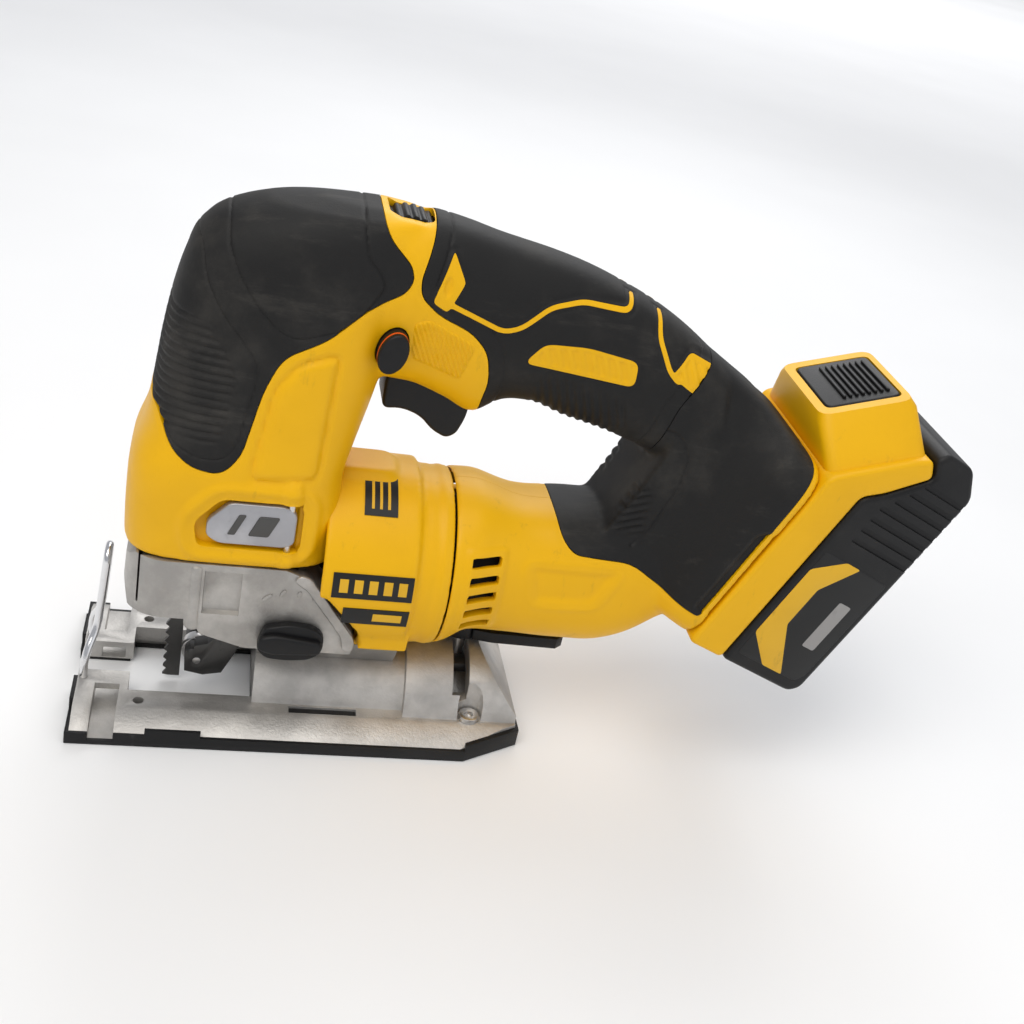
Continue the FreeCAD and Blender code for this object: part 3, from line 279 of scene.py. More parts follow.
def settle(obj):
    """Applies every modifier of an object, so that its mesh is what shows."""
    bpy.context.view_layer.update()
    shaped = obj.evaluated_get(bpy.context.evaluated_depsgraph_get())
    mesh = bpy.data.meshes.new_from_object(shaped)
    obj.modifiers.clear()
    old = obj.data
    obj.data = mesh
    bpy.data.meshes.remove(old)
    return obj


def modify(obj, kind, **settings):
    made = obj.modifiers.new(kind.lower(), kind)
    for key, setting in settings.items():
        setattr(made, key, setting)


def soften(obj, angle=35):
    """Smooth shading that keeps edges sharper than the angle."""
    mesh = obj.data
    mesh.polygons.foreach_set("use_smooth", [True] * len(mesh.polygons))
    bm = bmesh.new()
    bm.from_mesh(mesh)
    limit = math.radians(angle)
    for edge in bm.edges:
        edge.smooth = len(edge.link_faces) == 2 and edge.calc_face_angle(0) < limit
    bm.to_mesh(mesh)
    bm.free()
    return obj


for node_name, obj in frame["nodes"].items():
    repaint(obj, PAINTS[slot_of[node_name]])


def place(obj, body, slot_name, *nodes):
    """Seats a finished piece on its body, in place of the plain nodes it stands for."""
    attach(obj, body)
    if nodes:
        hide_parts(*nodes)
    return obj


def rounded(outline, radius, steps=5):
    """The outline with its corners turned into arcs."""
    points = []
    count = len(outline)
    for i in range(count):
        corner = Vector(outline[i])
        before, after = Vector(outline[i - 1]) - corner, Vector(outline[(i + 1) % count]) - corner
        reach = min(radius, before.length * 0.45, after.length * 0.45)
        first, last = corner + before.normalized() * reach, corner + after.normalized() * reach
        for k in range(steps + 1):
            t = k / steps
            points.append(tuple(first.lerp(corner, t).lerp(corner.lerp(last, t), t)))
    return points


def prism(outline, low, high, where):
    """A closed outline made solid between low and high; where(u, v, w) places each corner."""
    bm = bmesh.new()
    rings = [[bm.verts.new(where(u, v, w)) for u, v in outline] for w in (low, high)]
    count = len(outline)
    bm.faces.new(rings[0])
    bm.faces.new(list(reversed(rings[1])))
    for i in range(count):
        j = (i + 1) % count
        bm.faces.new((rings[0][j], rings[0][i], rings[1][i], rings[1][j]))
    bmesh.ops.recalc_face_normals(bm, faces=bm.faces)
    return bm


def side_on(u, v, w):
    """Places a side outline: u is x, v is z and w is y."""
    return at(u, w, v)


def plan_on(u, v, w):
    """Places a plan outline: u is x, v is y and w is z."""
    return at(u, v, w)


def pack_side(u, v, w):
    """Places a side outline of the pack: u is depth, v is length and w is y."""
    return at(*in_pack(u, w, v))


def crisp(name, bm, material, bevel, segments=3, angle=32):
    """A hard piece with its edges rounded over."""
    obj = mesh_object(name, bm, material)
    modify(obj, "BEVEL", width=bevel * MM, segments=segments, limit_method="ANGLE",
           angle_limit=math.radians(angle), harden_normals=False, miter_outer="MITER_ARC")
    return soften(settle(obj))


def refined(node_name, material, bevel):
    """A node's own shape with its edges broken and its round faces shaded smooth."""
    source = frame["nodes"][node_name]
    bm = bmesh.new()
    bm.from_mesh(source.data)
    bmesh.ops.remove_doubles(bm, verts=bm.verts, dist=0.00002)
    bmesh.ops.dissolve_limit(bm, angle_limit=math.radians(1.0), verts=bm.verts, edges=bm.edges)
    obj = mesh_object(node_name + "_piece", bm, material)
    if bevel:
        modify(obj, "BEVEL", width=bevel * MM, segments=2, limit_method="ANGLE",
               angle_limit=math.radians(28), use_clamp_overlap=True)
    soften(settle(obj), 30)
    return place(obj, body_of[node_name], slot_of[node_name], node_name)


def merged(name, parts, material):
    """Several meshes as one object."""
    bm = bmesh.new()
    for part in parts:
        mesh = bpy.data.meshes.new("part")
        part.to_mesh(mesh)
        part.free()
        bm.from_mesh(mesh)
        bpy.data.meshes.remove(mesh)
    return mesh_object(name, bm, material)


# ---------------------------------------------------------------- organic surfaces
def smooth_rows(rows, step):
    """Rows of numbers, the first being the station, joined by a smooth curve at even steps."""
    table = np.array(rows, float)
    stations = table[:, 0]
    slopes = np.gradient(table, stations, axis=0)
    count = max(2, int((stations[-1] - stations[0]) / step))
    result = []
    for s in np.linspace(stations[0], stations[-1], count + 1):
        i = min(np.searchsorted(stations, s, side="right") - 1, len(stations) - 2)
        gap = stations[i + 1] - stations[i]
        t = (s - stations[i]) / gap
        blend0, blend1 = 2 * t**3 - 3 * t**2 + 1, -2 * t**3 + 3 * t**2
        lean0, lean1 = t**3 - 2 * t**2 + t, t**3 - t**2
        result.append(blend0 * table[i] + lean0 * gap * slopes[i]
                      + blend1 * table[i + 1] + lean1 * gap * slopes[i + 1])
    return result


def loft(rows, where, step=2.5, around=64):
    """Rows of (station, low, high, half width, squareness) skinned into a closed form."""
    bm = bmesh.new()
    rings = []
    for s, low, high, half, power in smooth_rows(rows, step):
        ring = []
        for k in range(around):
            angle = 2 * math.pi * k / around
            c, n = math.cos(angle), math.sin(angle)
            u = math.copysign(abs(c) ** (2 / power), c) * half
            v = (low + high) / 2 + math.copysign(abs(n) ** (2 / power), n) * (high - low) / 2
            ring.append(bm.verts.new(where(s, u, v)))
        rings.append(ring)
    for a, b in zip(rings, rings[1:]):
        for k in range(around):
            m = (k + 1) % around
            bm.faces.new((a[k], a[m], b[m], b[k]))
    bm.faces.new(rings[0])
    bm.faces.new(list(reversed(rings[-1])))
    bmesh.ops.recalc_face_normals(bm, faces=bm.faces)
    return bm


def along_x(s, u, v):
    return at(s, u, v)


def along_z(s, u, v):
    return at(v, u, s)


def along_depth(s, u, v):
    return at(*in_pack(s, u, v))


def blended(name, forms, voxel, rounds):
    """Forms melted together: remeshed as one skin and smoothed where they meet."""
    obj = merged(name, forms, PAINTS["yellow_casing"])
    modify(obj, "REMESH", mode="VOXEL", voxel_size=voxel * MM)
    modify(obj, "SMOOTH", factor=0.5, iterations=rounds)
    return settle(obj)


def carve(obj, cutter, operation="DIFFERENCE"):
    """Cuts one closed mesh with another, then drops the cutter."""
    tool = mesh_object("cutter", cutter, DEEP_BLACK)
    tool.data.materials.clear()
    modify(obj, "BOOLEAN", object=tool, operation=operation, solver="EXACT")
    settle(obj)
    bpy.data.objects.remove(tool)
    return obj


def distance_to(outline, points, closed=True):
    """Distance of 2-D points to an outline, negative inside it when it is closed."""
    corners = np.array(outline, float)
    ends = np.roll(corners, -1, axis=0) if closed else corners[1:]
    starts = corners if closed else corners[:-1]
    nearest = np.full(len(points), 1e9)
    inside = np.zeros(len(points), bool)
    for a, b in zip(starts, ends):
        edge = b - a
        t = np.clip(((points - a) @ edge) / max(edge @ edge, 1e-12), 0, 1)
        gap = points - a - t[:, None] * edge
        nearest = np.minimum(nearest, np.hypot(gap[:, 0], gap[:, 1]))
        if closed:
            crosses = (a[1] > points[:, 1]) != (b[1] > points[:, 1])
            rise = edge[1] if edge[1] else 1e-12
            inside ^= crosses & (points[:, 0] < edge[0] * (points[:, 1] - a[1]) / rise + a[0])
    return np.where(inside, -nearest, nearest) if closed else nearest


def stations_of(bm):
    """Every vertex as stations in millimetres."""
    points = np.array([v.co[:] for v in bm.verts], float) / MM
    points[:, 0] -= SHOE_FRONT
    return points


def trim(bm, field):
    """Cuts a sheet along the line where field(stations) is 0 and keeps the side below it."""
    values = field(stations_of(bm))
    values = np.where(np.abs(values) < 1e-4, -1e-4, values)
    bm.verts.index_update()
    level = {v: values[v.index] for v in bm.verts}
    crossing = [e for e in bm.edges if level[e.verts[0]] * level[e.verts[1]] < 0]
    fresh = {}
    for edge in crossing:
        a, b = edge.verts
        _, new = bmesh.utils.edge_split(edge, a, level[a] / (level[a] - level[b]))
        fresh[new] = level[new] = 0.0
    for face in dict.fromkeys(f for v in fresh for f in v.link_faces):
        on_line = [v for v in face.verts if v in fresh]
        if len(on_line) == 2:
            bmesh.utils.face_split(face, on_line[0], on_line[1])
    outside = [f for f in bm.faces if sum(level[v] for v in f.verts) > 0]
    bmesh.ops.delete(bm, geom=outside, context="FACES")
    return bm


def sheet_from(base, fields):
    """The part of a base skin where every field is below 0."""
    bm = bmesh.new()
    bm.from_mesh(base.data)
    for field in fields:
        trim(bm, field)
    bmesh.ops.remove_doubles(bm, verts=bm.verts, dist=0.00004)
    return bm


def shell(name, bm, material, thick):
    """A trimmed skin given its wall inward, with its rim rounded."""
    obj = mesh_object(name, bm, material)
    modify(obj, "SOLIDIFY", thickness=thick * MM, offset=-1)
    modify(obj, "BEVEL", width=RIM_RADIUS * MM, segments=2, limit_method="ANGLE",
           angle_limit=math.radians(50))
    return soften(settle(obj), 40)


# ---------------------------------------------------------------- camera, light and floor
def set_stage():
    scene = bpy.context.scene
    camera = bpy.data.objects.new("camera", bpy.data.cameras.new("camera"))
    camera.data.lens, camera.data.sensor_width = 45.62, 36
    camera.data.clip_start, camera.data.clip_end = 0.02, 20
    right, up = Vector((0.96776, -0.15687, 0.19706)), Vector((-0.09064, 0.51308, 0.85355))
    turn = Matrix((right, up, right.cross(up))).transposed()
    camera.matrix_world = Matrix.Translation(at(39.3, -420.3, 329.8)) @ turn.to_4x4()
    scene.collection.objects.link(camera)
    scene.camera = camera
    world = bpy.data.worlds.new("studio")
    world.use_nodes = True
    world.node_tree.nodes["Background"].inputs[0].default_value = (0.93, 0.95, 1.0, 1)
    world.node_tree.nodes["Background"].inputs[1].default_value = 0.5
    scene.world = world
    scene.view_settings.view_transform = "Standard"
    for name, spot, size, power, colour in (
            ("key", (-0.35, -0.45, 0.95), 0.7, 5.0, (1.0, 0.97, 0.92)),
            ("fill", (0.75, -0.75, 0.45), 0.9, 1.3, (0.95, 0.97, 1.0)),
            ("back", (0.3, 0.8, 0.8), 0.9, 2.6, (1.0, 1.0, 1.0)),
            ("top", (0.05, -0.1, 1.1), 0.5, 1.8, (1.0, 0.99, 0.97))):
        lamp = bpy.data.objects.new(name, bpy.data.lights.new(name, "AREA"))
        lamp.data.size, lamp.data.energy, lamp.data.color = size, power, colour
        lamp.location = spot
        lamp.rotation_mode = "QUATERNION"
        lamp.rotation_quaternion = (Vector((0, 0, 0.09)) - Vector(spot)).to_track_quat("-Z", "Y")
        scene.collection.objects.link(lamp)
    backdrop = bpy.data.objects.new("backdrop", bpy.data.lights.new("backdrop", "AREA"))
    backdrop.data.size, backdrop.data.energy = 3, 75
    backdrop.location = (1.3, 3.4, 2.6)
    scene.collection.objects.link(backdrop)
    floor_paint = Paint("pale_floor")
    cloud = floor_paint.noise(3.0, 3.0)
    floor_material = floor_paint.finish(
        Base_Color=floor_paint.blend(cloud.between(0.2, 0.8), (0.86, 0.86, 0.86), (0.9, 0.9, 0.9)),
        Roughness=0.7 + 0.1 * cloud)
    bm = bmesh.new()
    bmesh.ops.create_grid(bm, x_segments=8, y_segments=8, size=6)
    floor = mesh_object("floor", bm, floor_material)
    floor.location.z = cad_low.z - 0.0002


set_stage()

# ---------------------------------------------------------------- casing
COLUMN = [(75.2, 14.5, 90, 31.5, 4.0), (92, 14.3, 90, 31.5, 4.0), (108, 15.2, 89, 31, 3.7),
          (120, 18.8, 91.5, 29.6, 3.3), (135, 20.8, 95, 28.2, 3.0), (150, 22.4, 98, 27, 2.9),
          (165, 24.8, 102, 25.6, 2.8), (178, 28, 106, 24, 2.6), (188, 32, 109, 22, 2.4),
          (196, 42, 111, 18.5, 2.2), (200.5, 56, 111, 14, 2.0), (202.3, 70, 108, 8, 2.0)]
HANDLE = [(80, 150, 202, 21, 2.6), (96, 143, 202.2, 20.4, 2.6), (108, 141.5, 201.8, 19.6, 2.6),
          (120, 137, 200, 18.8, 2.6), (131, 132.5, 197.5, 18.5, 2.6), (140, 138.5, 195.8, 18.5, 2.6),
          (150, 139.5, 194, 18.4, 2.6), (165, 135, 190.4, 18.4, 2.6), (180, 131.5, 185.2, 18.6, 2.6),
          (192, 128, 180.2, 19, 2.6), (206, 122, 172.6, 19.4, 2.7), (221, 112, 162.5, 20, 2.8)]
TAIL = [(131.2, 33.5, 102.8, 34.3, 2.0), (136, 36, 103, 33.8, 2.0), (141, 40.5, 102.8, 31.8, 2.1),
        (147, 41.6, 101, 29.4, 2.2), (154, 42, 98.4, 28, 2.4), (180, 42, 98, 27.8, 2.7),
        (196, 42.6, 98, 27.4, 2.7), (208, 47.5, 97, 26.8, 2.6), (217, 55.5, 95, 26.4, 2.6),
        (224, 61.5, 90, 26, 2.6)]
FOOT = [(134.5, 142, 238, 19.5, 3.2), (146, 144, 236.5, 20.5, 3.4), (156, 145.5, 235, 23.5, 3.8),
        (164, 146, 233, 29.5, 4.6), (171, 146, 231.2, 35.6, 6), (177, 146, 230, 37.6, 7),
        (182.4, 146, 229, 37.9, 8)]
casing = blended("casing", [loft(COLUMN, along_z), loft(HANDLE, along_x), loft(TAIL, along_x),
                            loft(FOOT, along_depth)], 1.15, 8)

# Side outlines, as stations (x, z). The first three are where rubber covers the casing.
NOSE_ZONE = [(5, 133), (22, 130), (29, 117), (36, 112), (46, 110.5), (52, 118), (57, 142), (62, 154),
             (76, 161.5), (87, 172), (99, 179), (101.3, 183.5), (100, 188), (92, 195.5), (88.5, 203),
             (88, 212), (5, 212)]
HANDLE_ZONE = [(108.5, 212), (106.5, 196), (103.6, 184), (104.5, 178.5), (111, 172.8), (124, 167.5),
               (130.5, 161), (133, 150), (132, 141), (134, 120), (197, 120), (203, 150), (217, 172),
               (217, 212)]
FOOT_ZONE = [(217, 212), (217, 172), (203, 150), (197, 120), (150, 118), (161, 112), (168, 103), (172, 92),
             (177, 87.5), (200, 86), (213, 78), (223, 74), (227, 72.8), (263.9, 157.9), (275, 212)]
RUBBER_ZONES = (NOSE_ZONE, HANDLE_ZONE, FOOT_ZONE)
TRIM_FRONT = [(111.5, 178), (134, 169.5), (140, 171.5), (149, 180), (160, 183), (178, 181), (180, 191)]
TRIM_REAR = [(190.5, 183), (190, 174), (196, 162.5), (200, 159)]
BADGE_REAR = [(203, 169.5), (215.5, 164), (214, 155.5), (209, 154), (197, 161)]
BADGE_SIDE = [(143.5, 159), (149.5, 167), (165, 167.5), (184, 164.5), (184.5, 155)]
BADGE_FRONT = [(113.5, 194), (118.5, 184.5), (114, 174), (108.5, 177)]
THUMB_PAD = [(103.5, 169.5), (109, 171), (126, 163.5), (122.5, 149.5), (112, 153.5), (104.5, 156)]
NOSE_LINE = [(41, 196), (41.5, 187), (46, 178), (53, 169), (60, 162.5), (66, 160.5), (80, 165), (86, 170),
             (92.5, 180), (90.5, 185), (85.5, 189), (83, 202)]
NOSE_PANEL = [(10, 190), (33, 187), (35, 176), (41, 166), (50, 156.5), (54.5, 150), (54, 143), (50, 121),
              (46, 116), (38, 115.5), (29, 119), (24, 127), (10, 130)]
NOSE_RIBS = [(5, 166), (37, 163), (45, 154), (49, 145), (45.5, 121), (38, 119.5), (28, 122), (5, 124)]
LEVER_WINDOW = [(40, 82.5), (38.5, 92), (47, 101.8), (73.6, 101.8), (75.4, 99), (75.4, 84), (73, 82.5)]
COLUMN_PANEL = [(56, 110.5), (78, 111.5), (80, 156), (68, 152), (61.5, 143)]
TAIL_PANEL = [(161, 82), (195, 82), (188, 68), (165, 67)]
FOOT_PAD = [(224, 76), (229, 73.5), (240, 76), (252, 104), (249, 111), (240, 112)]
FOOT_LINE = [(196, 141), (207, 138), (212.5, 130), (211, 118), (204, 98), (199, 92)]
DIAL_SPOT, BUTTON_SPOT = (99, 187), (97.5, 159.5)
DIAL_WAY = 7.4
SCREW_WELL = 3.6
BOSSES = [(33, 178), (62, 152), (150, 178), (185, 145), (239.8, 137.8), (213, 76.4), (175, 70)]
VENT_STATION = 143.6
VENT_LEVELS = [56 + 7 * i for i in range(5)]


def ellipse(centre, wide, tall, tilt=0, count=32):
    """An ellipse's outline, tilted by an angle in degrees."""
    lean = math.radians(tilt)
    points = []
    for k in range(count):
        a = 2 * math.pi * k / count
        u, v = wide * math.cos(a), tall * math.sin(a)
        points.append((centre[0] + u * math.cos(lean) + v * math.sin(lean),
                       centre[1] - u * math.sin(lean) + v * math.cos(lean)))
    return points


BUTTON_WAY = ellipse(BUTTON_SPOT, 5.4, 7.9, 15)


def bell(distance, half, edge):
    """1 where distance is under half, 0 beyond it, with a soft edge."""
    t = np.clip((half + edge - distance) / (2 * edge), 0, 1)
    return t * t * (3 - 2 * t)


def mould(obj, height):
    """Moves the points of a skin along its normals by height(stations) in millimetres."""
    mesh = obj.data
    count = len(mesh.vertices)
    places, normals = np.empty(count * 3), np.empty(count * 3)
    mesh.vertices.foreach_get("co", places)
    mesh.vertices.foreach_get("normal", normals)
    places, normals = places.reshape(-1, 3), normals.reshape(-1, 3)
    stations = places / MM
    stations[:, 0] -= SHOE_FRONT
    places += normals * (height(stations) * MM)[:, None]
    mesh.vertices.foreach_set("co", places.ravel())
    mesh.update()


def gap_to(outline, p, radius=3.0, closed=True):
    """Distance to a side outline with rounded corners, below 0 inside it."""
    corners = rounded(outline, radius)
    if not closed:
        corners = [outline[0]] + corners[6:-6] + [outline[-1]]
    return distance_to(corners, p[:, (0, 2)], closed)


def casing_relief(p):
    """The raised frames, sunk panels and vent blocks moulded into the casing."""
    side = bell(15 - np.abs(p[:, 1]), 0, 1.5)
    window, panel, tail = gap_to(LEVER_WINDOW, p), gap_to(COLUMN_PANEL, p), gap_to(TAIL_PANEL, p)
    height = 1.0 * bell(np.abs(window - 4.0), 1.6, 1.5) * (p[:, 1] < 0)
    height = height + 0.7 * bell(panel, -0.9, 0.8) - 0.9 * bell(np.abs(panel - 0.8), 0.5, 0.7)
    pin_cover = bell(np.abs(p[:, 0] - LEVER_PIN[0]), 2.6, 1.4) * bell(np.abs(p[:, 2] - 93.5), 17, 1.5)
    height = height + 1.4 * (p[:, 1] < 0) * pin_cover
    height = height - 1.0 * bell(tail, -1, 1.3) + 0.45 * bell(np.abs(tail - 2.4), 0.8, 1.2)
    vent_block = bell(np.abs(p[:, 0] - VENT_STATION), 7.6, 0.9) * bell(np.abs(p[:, 2] - 70), 18, 0.9)
    height = height + 0.8 * vent_block
    height = height - 0.5 * bell(gap_to(FOOT_PAD, p), 0, 1.2)
    for zone in RUBBER_ZONES:
        height = height - 0.35 * bell(np.abs(gap_to(zone, p, 5) - 0.5), 0.5, 0.9)
    valley = bell(np.abs(p[:, 0] - 99.5), 6.0, 3.0) * bell(np.abs(p[:, 1]), 8.5, 3.5) * (p[:, 2] > 188)
    return side * height - 2.4 * valley


mould(casing, casing_relief)
carve(casing, prism(rounded(LEVER_WINDOW, 3), -60, -27.9, side_on))
carve(casing, prism(ellipse(LEVER_PIN, 3.8, 3.8), 82.6, 101.7, plan_on))


def bare_ends(p):
    """Opens the casing over the gear case and round the motor housing."""
    under_column = np.where(p[:, 0] < 90, 75.3 - p[:, 2], -50)
    round_motor = np.where((p[:, 0] > 100) & (p[:, 2] < 108), 131.5 - p[:, 0], -50)
    return np.maximum(under_column, round_motor)


def screw_wells(p):
    """Above 0 in the round holes over the screw heads of the right half."""
    value = np.full(len(p), -50.0)
    for x, z in BOSSES:
        hole = np.minimum(SCREW_WELL - np.hypot(p[:, 0] - x, p[:, 2] - z), p[:, 1] - 5)
        value = np.maximum(value, hole)
    return value


def openings_in_casing(p):
    """Above 0 in the ways for the dial, lock button, trigger and cooling air."""
    dial = np.minimum.reduce([7.6 - np.abs(p[:, 0] - DIAL_SPOT[0]), DIAL_WAY - np.abs(p[:, 1]),
                              p[:, 2] - 185])
    well = np.minimum.reduce([p[:, 0] - 97.8, 131.3 - p[:, 0], 9.3 - np.abs(p[:, 1]), 156 - p[:, 2]])
    value = np.maximum.reduce([dial, well, -gap_to(BUTTON_WAY, p, 0.1)])
    for level in VENT_LEVELS:
        slot = np.minimum.reduce([5.8 - np.abs(p[:, 0] - VENT_STATION), 1.9 - np.abs(p[:, 2] - level),
                                  np.abs(p[:, 1]) - 16])
        value = np.maximum(value, slot)
    return np.maximum(value, screw_wells(p))


def outside_grips(p):
    """Below 0 where no rubber covers the casing."""
    return np.maximum.reduce([RUBBER_GAP - gap_to(zone, p, 5) for zone in RUBBER_ZONES])


SEAM = 0.07
for side, node_name in ((NEAR, "casing_left"), (FAR, "casing_right")):
    skin = sheet_from(casing, [lambda p, s=side: SEAM - s * p[:, 1], outside_grips, bare_ends,
                               openings_in_casing])
    piece = shell(node_name + "_shell", skin, PAINTS["yellow_casing"], CASING_WALL)
    carve(piece, prism(ellipse(DIAL_SPOT, 14.9, 14.9, count=64), -DIAL_WAY, DIAL_WAY, side_on))
    repaint(piece, PAINTS["yellow_casing"])
    place(soften(piece, 40), "housing", "yellow_casing", node_name)


def skin_piece(name, fields, paint, thick, relief):
    """One moulding cut from the casing's skin, with its own relief and a rounded rim."""
    sheet = mesh_object(name + "_sheet", sheet_from(casing, fields), PAINTS[paint])
    modify(sheet, "SUBSURF", levels=1, render_levels=1)
    settle(sheet)
    mould(sheet, relief)
    bm = bmesh.new()
    bm.from_mesh(sheet.data)
    bpy.data.objects.remove(sheet)
    return shell(name, bm, PAINTS[paint], thick)


def nose_relief(p):
    """Finger ribs round the front of the nose, and the two fine lines that frame them."""
    ribs = bell(gap_to(NOSE_RIBS, p), -1.0, 1.0) * (0.5 + 0.5 * np.cos(2 * math.pi * p[:, 2] / 2.9))
    lines = np.maximum(bell(np.abs(gap_to(NOSE_PANEL, p, 4)), 0.25, 0.55),
                       bell(gap_to(NOSE_LINE, p, closed=False), 0.25, 0.55))
    return -0.75 * ribs - 0.7 * lines


place(skin_piece("nose_rubber", [lambda p: gap_to(NOSE_ZONE, p, 5) + RUBBER_GAP, openings_in_casing],
                 "black_rubber", RUBBER_WALL, nose_relief), "housing", "black_rubber", "nose_grip")


def handle_inlay(p):
    """Below 0 where the casing's yellow shows through the handle's rubber."""
    lines = np.minimum(gap_to(TRIM_FRONT, p, closed=False), gap_to(TRIM_REAR, p, closed=False)) - 0.85
    badges = np.minimum.reduce([gap_to(BADGE_REAR, p, 2), gap_to(BADGE_SIDE, p, 3),
                                gap_to(BADGE_FRONT, p, 1)])
    return np.maximum(np.minimum(lines, badges), 5 - np.abs(p[:, 1]))


def handle_relief(p):
    """Ribs under the fingers, and a line along the rubber's edge."""
    under = bell(np.abs(p[:, 0] - 168), 17, 3) * bell(p[:, 2] - (158 - 0.3 * (p[:, 0] - 150)), 0, 2)
    ribs = under * (0.5 + 0.5 * np.cos(2 * math.pi * (p[:, 0] + 0.35 * p[:, 2]) / 3.0))
    edge = bell(np.abs(gap_to(HANDLE_ZONE, p, 5) + 5.5), 0.3, 0.6)
    beside = bell(np.abs(handle_inlay(p) - 1.2), 0.6, 0.8)
    return -0.6 * ribs - 0.5 * edge - 0.4 * beside


place(skin_piece("handle_rubber", [lambda p: gap_to(HANDLE_ZONE, p, 5) + RUBBER_GAP,
                                   lambda p: 0.1 - handle_inlay(p), screw_wells],
                 "black_rubber", RUBBER_WALL, handle_relief), "housing", "black_rubber", "handle_grip")


def badge_relief(p):
    """Slanted bars across the badges, and the slot in the front one."""
    bars = bell(np.minimum(gap_to(BADGE_SIDE, p, 2), gap_to(BADGE_REAR, p, 2)), -1.6, 0.5)
    slot = bell(np.hypot((p[:, 0] - 113) * 1.8, (p[:, 2] - 182.5) * 0.7), 2.2, 0.7)
    stripes = bell(-np.cos(2 * math.pi * (p[:, 0] + 0.4 * p[:, 2]) / 4.2), 0, 0.5)
    return -0.45 * bars * stripes - 0.7 * slot


place(skin_piece("handle_inlays", [lambda p: gap_to(HANDLE_ZONE, p, 5) + 0.3, handle_inlay],
                 "yellow_casing", RUBBER_WALL, badge_relief), "housing", "yellow_casing")


def foot_relief(p):
    """The sunk pad low on the foot and the curved line behind the fingers, with grip ribs by it."""
    pad = gap_to(FOOT_PAD, p, 5)
    line = gap_to(FOOT_LINE, p, closed=False)
    ribs = bell(np.abs(p[:, 2] - 106), 10, 2) * bell(np.abs(p[:, 0] - 197), 5, 1.5)
    ribs = ribs * bell(14 - np.abs(p[:, 1]), 0, 2)
    comb = ribs * (0.5 + 0.5 * np.cos(2 * math.pi * (p[:, 2] - 0.4 * p[:, 0]) / 3.2))
    return (-1.0 * bell(pad, -0.5, 0.8) + 0.5 * bell(np.abs(pad - 1.4), 0.4, 0.8)
            - 0.6 * bell(line, 0.4, 0.6) - 0.9 * comb)


place(skin_piece("foot_rubber", [lambda p: gap_to(FOOT_ZONE, p, 5) + RUBBER_GAP, screw_wells],
                 "black_rubber", RUBBER_WALL, foot_relief), "housing", "black_rubber", "foot_grip")


def thumb_relief(p):
    """Ribs across the pad beside the trigger."""
    pad = bell(gap_to(THUMB_PAD, p, 2), -0.4, 0.6)
    along = (p[:, 0] * 0.9 + p[:, 2] * 0.42) / 1.55
    return pad * 0.8 * (0.5 + 0.5 * np.cos(2 * math.pi * along)) + 0.05


place(skin_piece("thumb_pads", [lambda p: gap_to(THUMB_PAD, p, 2), lambda p: 12 - np.abs(p[:, 1])],
                 "yellow_casing", 1.0, thumb_relief), "housing", "yellow_casing")

# Painted shade: a plain black block inside the tail darkens the view through the air slots.
vent_shade = loft([(137.5, 45, 95, 25, 2), (150, 45, 95, 25, 2)], along_x)
place(crisp("vent_shade_block", vent_shade, DEEP_BLACK, 0.5), "housing", "black_plastic")
bpy.data.objects.remove(casing)


# ---------------------------------------------------------------- motor housing
def melted(node_name, name, voxel, rounds, relief):
    """A node's own solid with every edge melted round, for a moulding with soft blends."""
    bm = bmesh.new()
    bm.from_mesh(frame["nodes"][node_name].data)
    obj = mesh_object(name, bm, PAINTS[slot_of[node_name]])
    modify(obj, "REMESH", mode="VOXEL", voxel_size=voxel * MM)
    modify(obj, "SMOOTH", factor=0.5, iterations=rounds)
    settle(obj)
    mould(obj, relief)
    soften(obj, 50)
    return place(obj, body_of[node_name], slot_of[node_name], node_name)


def motor_relief(p):
    """The seam round the barrel and the bead beside it."""
    outside = np.hypot(p[:, 1], p[:, 2] - MOTOR_LEVEL) > 33.4
    seam = bell(np.abs(p[:, 0] - 124.5), 0.3, 0.7)
    bead = bell(np.abs(p[:, 0] - 127.6), 1.0, 0.8)
    return outside * (-0.5 * seam + 0.3 * bead)


melted("motor_housing", "motor_shell", 1.0, 7, motor_relief)


def plate_piece(name, outline, low, high, material, body, slot_name, where=side_on, bevel=0.3, corner=1.0):
    """A flat moulded or printed plate on a side, with softened edges."""
    obj = crisp(name, prism(rounded(outline, corner, 4), low, high, where), material, bevel)
    return place(obj, body, slot_name)


def along_barrel(radius, low, high, x_low, x_high, thick):
    """A label bent round the barrel between two angles from the top."""
    bm = bmesh.new()
    count = 18
    rows = []
    for r in (radius - thick, radius):
        for x in (x_low, x_high):
            row = []
            for k in range(count + 1):
                a = math.radians(low + (high - low) * k / count)
                row.append(bm.verts.new(at(x, r * math.sin(a), MOTOR_LEVEL + r * math.cos(a))))
            rows.append(row)
    for a, b in ((0, 1), (1, 3), (3, 2), (2, 0)):
        for k in range(count):
            bm.faces.new((rows[a][k], rows[a][k + 1], rows[b][k + 1], rows[b][k]))
    for k in (0, count):
        bm.faces.new((rows[0][k], rows[1][k], rows[3][k], rows[2][k]))
    bmesh.ops.recalc_face_normals(bm, faces=bm.faces)
    return bm


def barrel_patch(name, low, high, x_low, x_high, proud, paint):
    """A label, proud of the barrel, and sunk far enough that no gap shows under it."""
    patch = along_barrel(BARREL_RADIUS + proud, low, high, x_low, x_high, proud + 0.4)
    place(soften(mesh_object(name, patch, paint)),
          "housing", "black_plastic" if paint is LABEL_BLACK else "yellow_casing")


